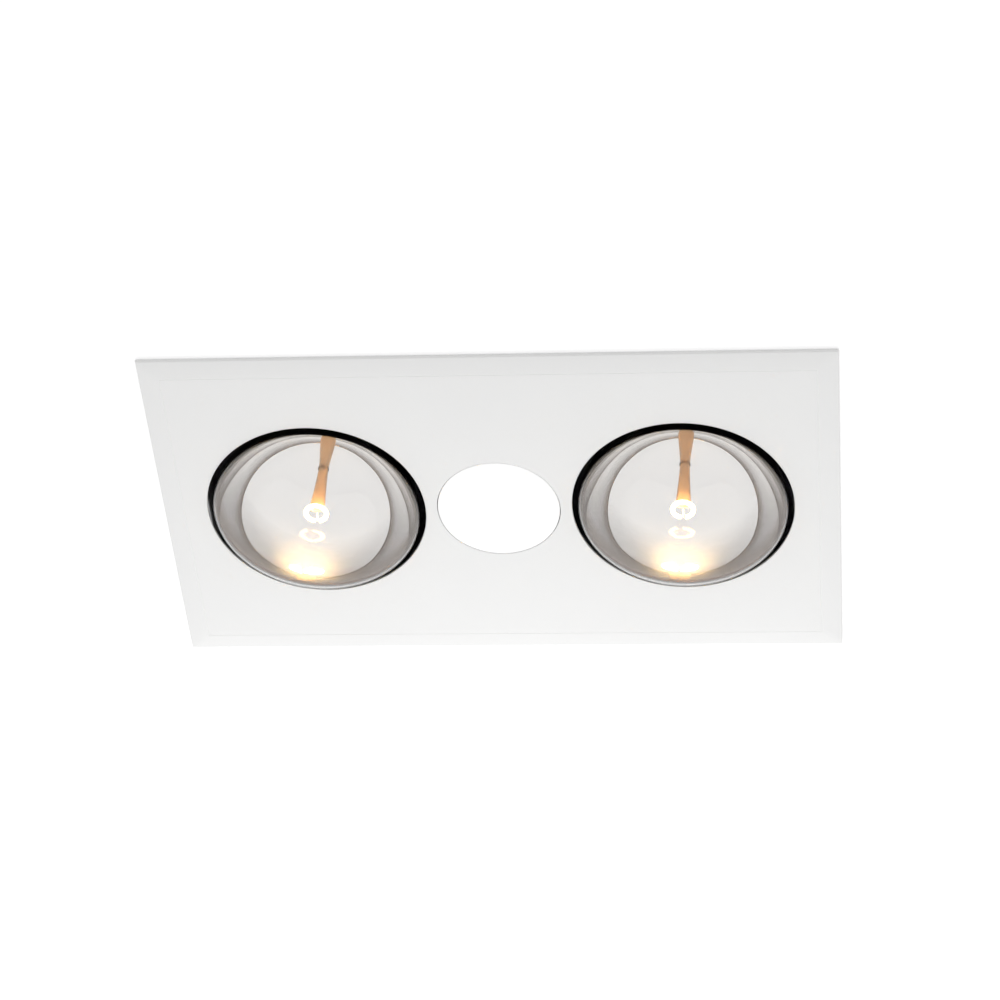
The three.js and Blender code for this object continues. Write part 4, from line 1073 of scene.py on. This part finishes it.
def makeGrommetPiece():
    # lip outside the wall, neck through its hole, flange inside, all turned about the cable's axis
    low, high = sizeOf("cable_grommet")
    near = low[0] + grommet["wallNear"]
    far = low[0] + grommet["wallFar"]
    bore = grommet["bore"]
    wide = grommet["flange"]
    neck = grommet["neck"]
    profile = filleted(
        [(bore, near), (bore, low[0]), (grommet["face"], low[0]), (wide, near), (neck, near), (neck, far),
         (wide, far), (wide, high[0]), (bore, high[0]), (bore, near)],
        grommet["radii"],
    )
    middle = (low + high) / 2
    ring = turned(profile, grommet["around"], (0, middle[1], middle[2]), "x")
    addPiece("entry_grommet", [(ring, 0)], [rubber], "housing", ["cable_grommet"])


makeTerminalBox()
makeGrommetPiece()
print("terminal box ready")

# Screws: slotted heads and threaded shanks; wings that grip the ceiling from above

screws = {
    "clamp": {"shank": 2.5, "head": 4.6, "headLow": -2.1, "headHigh": -1.1, "tip": 54.0, "pitch": 0.8},
    "cover": {"shank": 1.6, "head": 3.2, "headLow": 210.5, "headHigh": 212.5, "tip": 194.6, "pitch": 0.7},
    "threadDepth": 0.3,
    "rowsPerTurn": 8,
    "around": 24,
    "tipTaper": (0.5, 1.2),  # how much the tip narrows, over which length
    "slot": (0.45, 0.5),  # half width, depth
    "flankRows": 12,
    "flankAngle": 1.35,  # radians from the slot to the last row of the head's flank
    "bulgeShare": 0.25,
    "edge": 0.25,
    "edgeShare": 0.93,
    "sharp": 40,
}


def slottedHead(radius, low, high, centre, facesDown):
    # for each v across the head the section is sqrt(radius^2 - v^2) wide; |v| < slot half width is sunk
    slot, depth = screws["slot"]
    count = screws["flankRows"]
    flank = radius * np.cos(np.linspace(0, screws["flankAngle"], count))
    v = np.concatenate([-flank, [-slot, -slot, 0, slot, slot], flank[::-1]])
    sunk = np.zeros(len(v))
    sunk[count + 1:count + 4] = depth
    wide = np.sqrt(np.maximum(radius ** 2 - v ** 2, 0))
    bulge = screws["bulgeShare"] * (high - low) * (v / radius) ** 2
    top = high - bulge - sunk
    rim = screws["edgeShare"]
    share = np.array([-1, -1, -rim, -0.5, 0, 0.5, rim, 1, 1])
    drop = np.array([0, 1, 0, 0, 0, 0, 0, 1, 0])
    level = np.array([0, 1, 1, 1, 1, 1, 1, 1, 0])
    x = wide[:, None] * share
    z = np.where(level, top[:, None] - screws["edge"] * drop, low)
    if facesDown:
        z = low + high - z
    y = v[:, None] + 0 * x
    return capped(np.stack([x, y, z], axis=-1) + centre)


def threadedShank(size, centre):
    # radius = shank - depth |2 frac(z / pitch - t / 2 pi) - 1|, tapering at the tip
    under = size["headHigh"] if size["headLow"] < 0 else size["headLow"]
    tip = size["tip"]
    pitch = size["pitch"]
    rows = int(abs(tip - under) / pitch * screws["rowsPerTurn"])
    z = np.linspace(under, tip, rows)[:, None]
    t = np.linspace(0, 2 * np.pi, screws["around"], endpoint=False)[None, :]
    tooth = np.abs(2 * np.mod(z / pitch - t / (2 * np.pi), 1) - 1)
    narrower, length = screws["tipTaper"]
    taper = narrower * np.maximum(0, 1 - np.abs(z - tip) / length)
    radius = size["shank"] - screws["threadDepth"] * tooth - taper
    points = np.stack([radius * np.cos(t), radius * np.sin(t), z + 0 * t], axis=-1)
    return capped(points + centre)


def makeScrew(name, size, centre, body, standsFor):
    facesDown = size["headLow"] < 0
    head = slottedHead(size["head"], size["headLow"], size["headHigh"], centre, facesDown)
    grids = [(head, 0), (threadedShank(size, centre), 0)]
    addPiece(name, grids, [springSteel], body, [standsFor], screws["sharp"])


wing = {
    "reach": 19.5,
    "thickness": 3.0,
    "half": 4.0,
    "level": 13.0,
    "lipTop": 18.0,
    "bendRun": 4.0,
    "bendRadii": [0.5, 1.3],
    "bendSteps": 6,
    "armCorner": 0.6,
    "armPoints": 6,
    "hub": 5.0,
    "hubTop": 23.0,
    "hubRadii": [0.4, 0.6, 0.4],
    "hubAround": 48,
}


def makeWing(number, centre, sign):
    # flat arm swept outwards and up into its lip, on a round hub with a through hole
    level = wing["level"]
    thick = wing["thickness"]
    middle = level + thick / 2
    end = wing["reach"] - thick / 2
    corners = [(0, 0, middle), (end - wing["bendRun"], 0, middle), (end, 0, middle), (end, 0, wing["lipTop"])]
    path = filleted(corners, wing["bendRadii"], wing["bendSteps"])
    path = path * (sign, 1, 1) + centre
    section = cornered(unitSquare(wing["armPoints"]), wing["half"], thick / 2, wing["armCorner"])
    arm = capped(swept(path, (0, 1.0, 0), section))
    hub = wing["hub"]
    hole = box["clampHole"]
    top = wing["hubTop"]
    hubCorners = [(hole, level), (hub, level), (hub, top), (hole, top), (hole, level)]
    profile = filleted(hubCorners, wing["hubRadii"])
    grids = [(arm, 0), (turned(profile, wing["hubAround"], centre), 0)]
    body = f"clamp_wing_{number}"
    addPiece(f"wing_{number}", grids, [zinc], body, [body])


for number, (signX, signY) in enumerate(clockCorners, 1):
    place = (signX * box["clampPlace"][0], signY * box["clampPlace"][1], 0)
    makeScrew(f"screw_{number}", screws["clamp"], place, f"clamp_screw_{number}", f"clamp_screw_{number}")
    makeWing(number, place, signX)
postPlace = (terminal["post"][1], terminal["post"][2], 0)
makeScrew("cover_screw", screws["cover"], postPlace, "housing", "terminal_cover_screw")
print("clamps ready")

# Stage, light and camera

stage = {
    "floor": -2.4,  # the room's floor; the stage is in metres, with the ceiling's face at zero
    "floorReach": 40.0,
    "floorColour": (0.84, 0.84, 0.84),
    "floorLift": 0.19,
    "ceilingReach": (1.3, 1.1),
    "cutOut": (0.189, 0.103),  # half sizes of the opening that the box passes through
    "ceilingHeight": 0.0003,
    "ceilingColour": (0.86, 0.86, 0.86),
    "ceilingLift": 0.35,
    "roughness": 0.9,
    "ambient": 0.88,
    "keyPlace": (0.0, 0.45, -0.5),
    "keySize": (0.8, 0.3),
    "keyPower": 1.95,
}


def seenRays(owner):
    # one where the camera, metal or glass sees this, and zero where it only gives light
    rays = addNode(owner, "LightPath").outputs
    larger = {"operation": "MAXIMUM"}
    seen = addNode(owner, "Math", larger, i0=rays["Is Camera Ray"], i1=rays["Is Glossy Ray"])
    return addNode(owner, "Math", larger, i0=seen.outputs[0], i1=rays["Is Transmission Ray"]).outputs[0]


def stagePaint(name, colour, lift):
    # matt paint that keeps its shadows, lifted towards white where it is seen
    look = newFinish(name, colour, stage["roughness"])
    paint = look.node_tree.nodes["Principled BSDF"].outputs[0]
    light = addNode(look, "Emission", Color=(1, 1, 1, 1), Strength=lift)
    lifted = addNode(look, "AddShader", i0=paint, i1=light.outputs[0])
    mix = addNode(look, "MixShader", i0=seenRays(look), i1=paint, i2=lifted.outputs[0])
    feed(look, mix.outputs[0], "Surface", "Material Output")
    return look


def addSheet(name, points, faces, colour, lift):
    mesh = bpy.data.meshes.new(name)
    mesh.from_pydata(points, [], faces)
    mesh.materials.append(stagePaint(f"{name}Paint", colour, lift))
    sheet = addObject(name, mesh)


def makeFloorAndCeiling():
    # the ceiling is four strips round the cut-out that the box passes through
    square = np.array([(-1, -1), (1, -1), (1, 1), (-1, 1)])
    floor = atHeight(square * stage["floorReach"], stage["floor"])
    addSheet("floor", floor, [(0, 1, 2, 3)], stage["floorColour"], stage["floorLift"])
    loops = np.concatenate([square * stage["ceilingReach"], square * stage["cutOut"]])
    strips = [(0, 1, 5, 4), (1, 2, 6, 5), (2, 3, 7, 6), (3, 0, 4, 7)]
    ceiling = atHeight(loops, stage["ceilingHeight"])
    addSheet("ceiling", ceiling, strips, stage["ceilingColour"], stage["ceilingLift"])


def makeWorld():
    # white where the camera, glass or metal looks past the object, and a softer even light elsewhere
    world = bpy.data.worlds.new("studio")
    bpy.context.scene.world = world
    world.use_nodes = True
    soft = world.node_tree.nodes["Background"]
    soft.inputs["Color"].default_value = (1, 1, 1, 1)
    soft.inputs["Strength"].default_value = stage["ambient"]
    plainWhite = addNode(world, "Background", Color=(1, 1, 1, 1))
    mix = addNode(world, "MixShader", i0=seenRays(world), i1=soft.outputs[0], i2=plainWhite.outputs[0])
    feed(world, mix.outputs[0], "Surface", "World Output")


def makeKeyLight():
    data = bpy.data.lights.new("key", "AREA")
    data.shape = "RECTANGLE"
    data.size, data.size_y = stage["keySize"]
    data.energy = stage["keyPower"]
    lamp = addObject("key", data)
    lamp.visible_camera = False
    lamp.visible_glossy = False
    lamp.visible_transmission = False
    place = Vector(stage["keyPlace"])
    lamp.location = place
    lamp.rotation_euler = (-place).to_track_quat("-Z", "Y").to_euler()


view = {
    "place": (0.20568, -1.30422, -1.41626),
    "turn": (137.2417, -4.0616, 4.5741),
    "lens": 116.6,
    "sensor": 36.0,
}


def makeCamera():
    data = bpy.data.cameras.new("camera")
    data.lens = view["lens"]
    data.sensor_width = view["sensor"]
    camera = addObject("camera", data)
    camera.location = view["place"]
    camera.rotation_euler = [math.radians(angle) for angle in view["turn"]]
    bpy.context.scene.camera = camera


makeFloorAndCeiling()
makeWorld()
makeKeyLight()
makeCamera()
bpy.context.scene.view_settings.view_transform = "Standard"
print("stage ready")
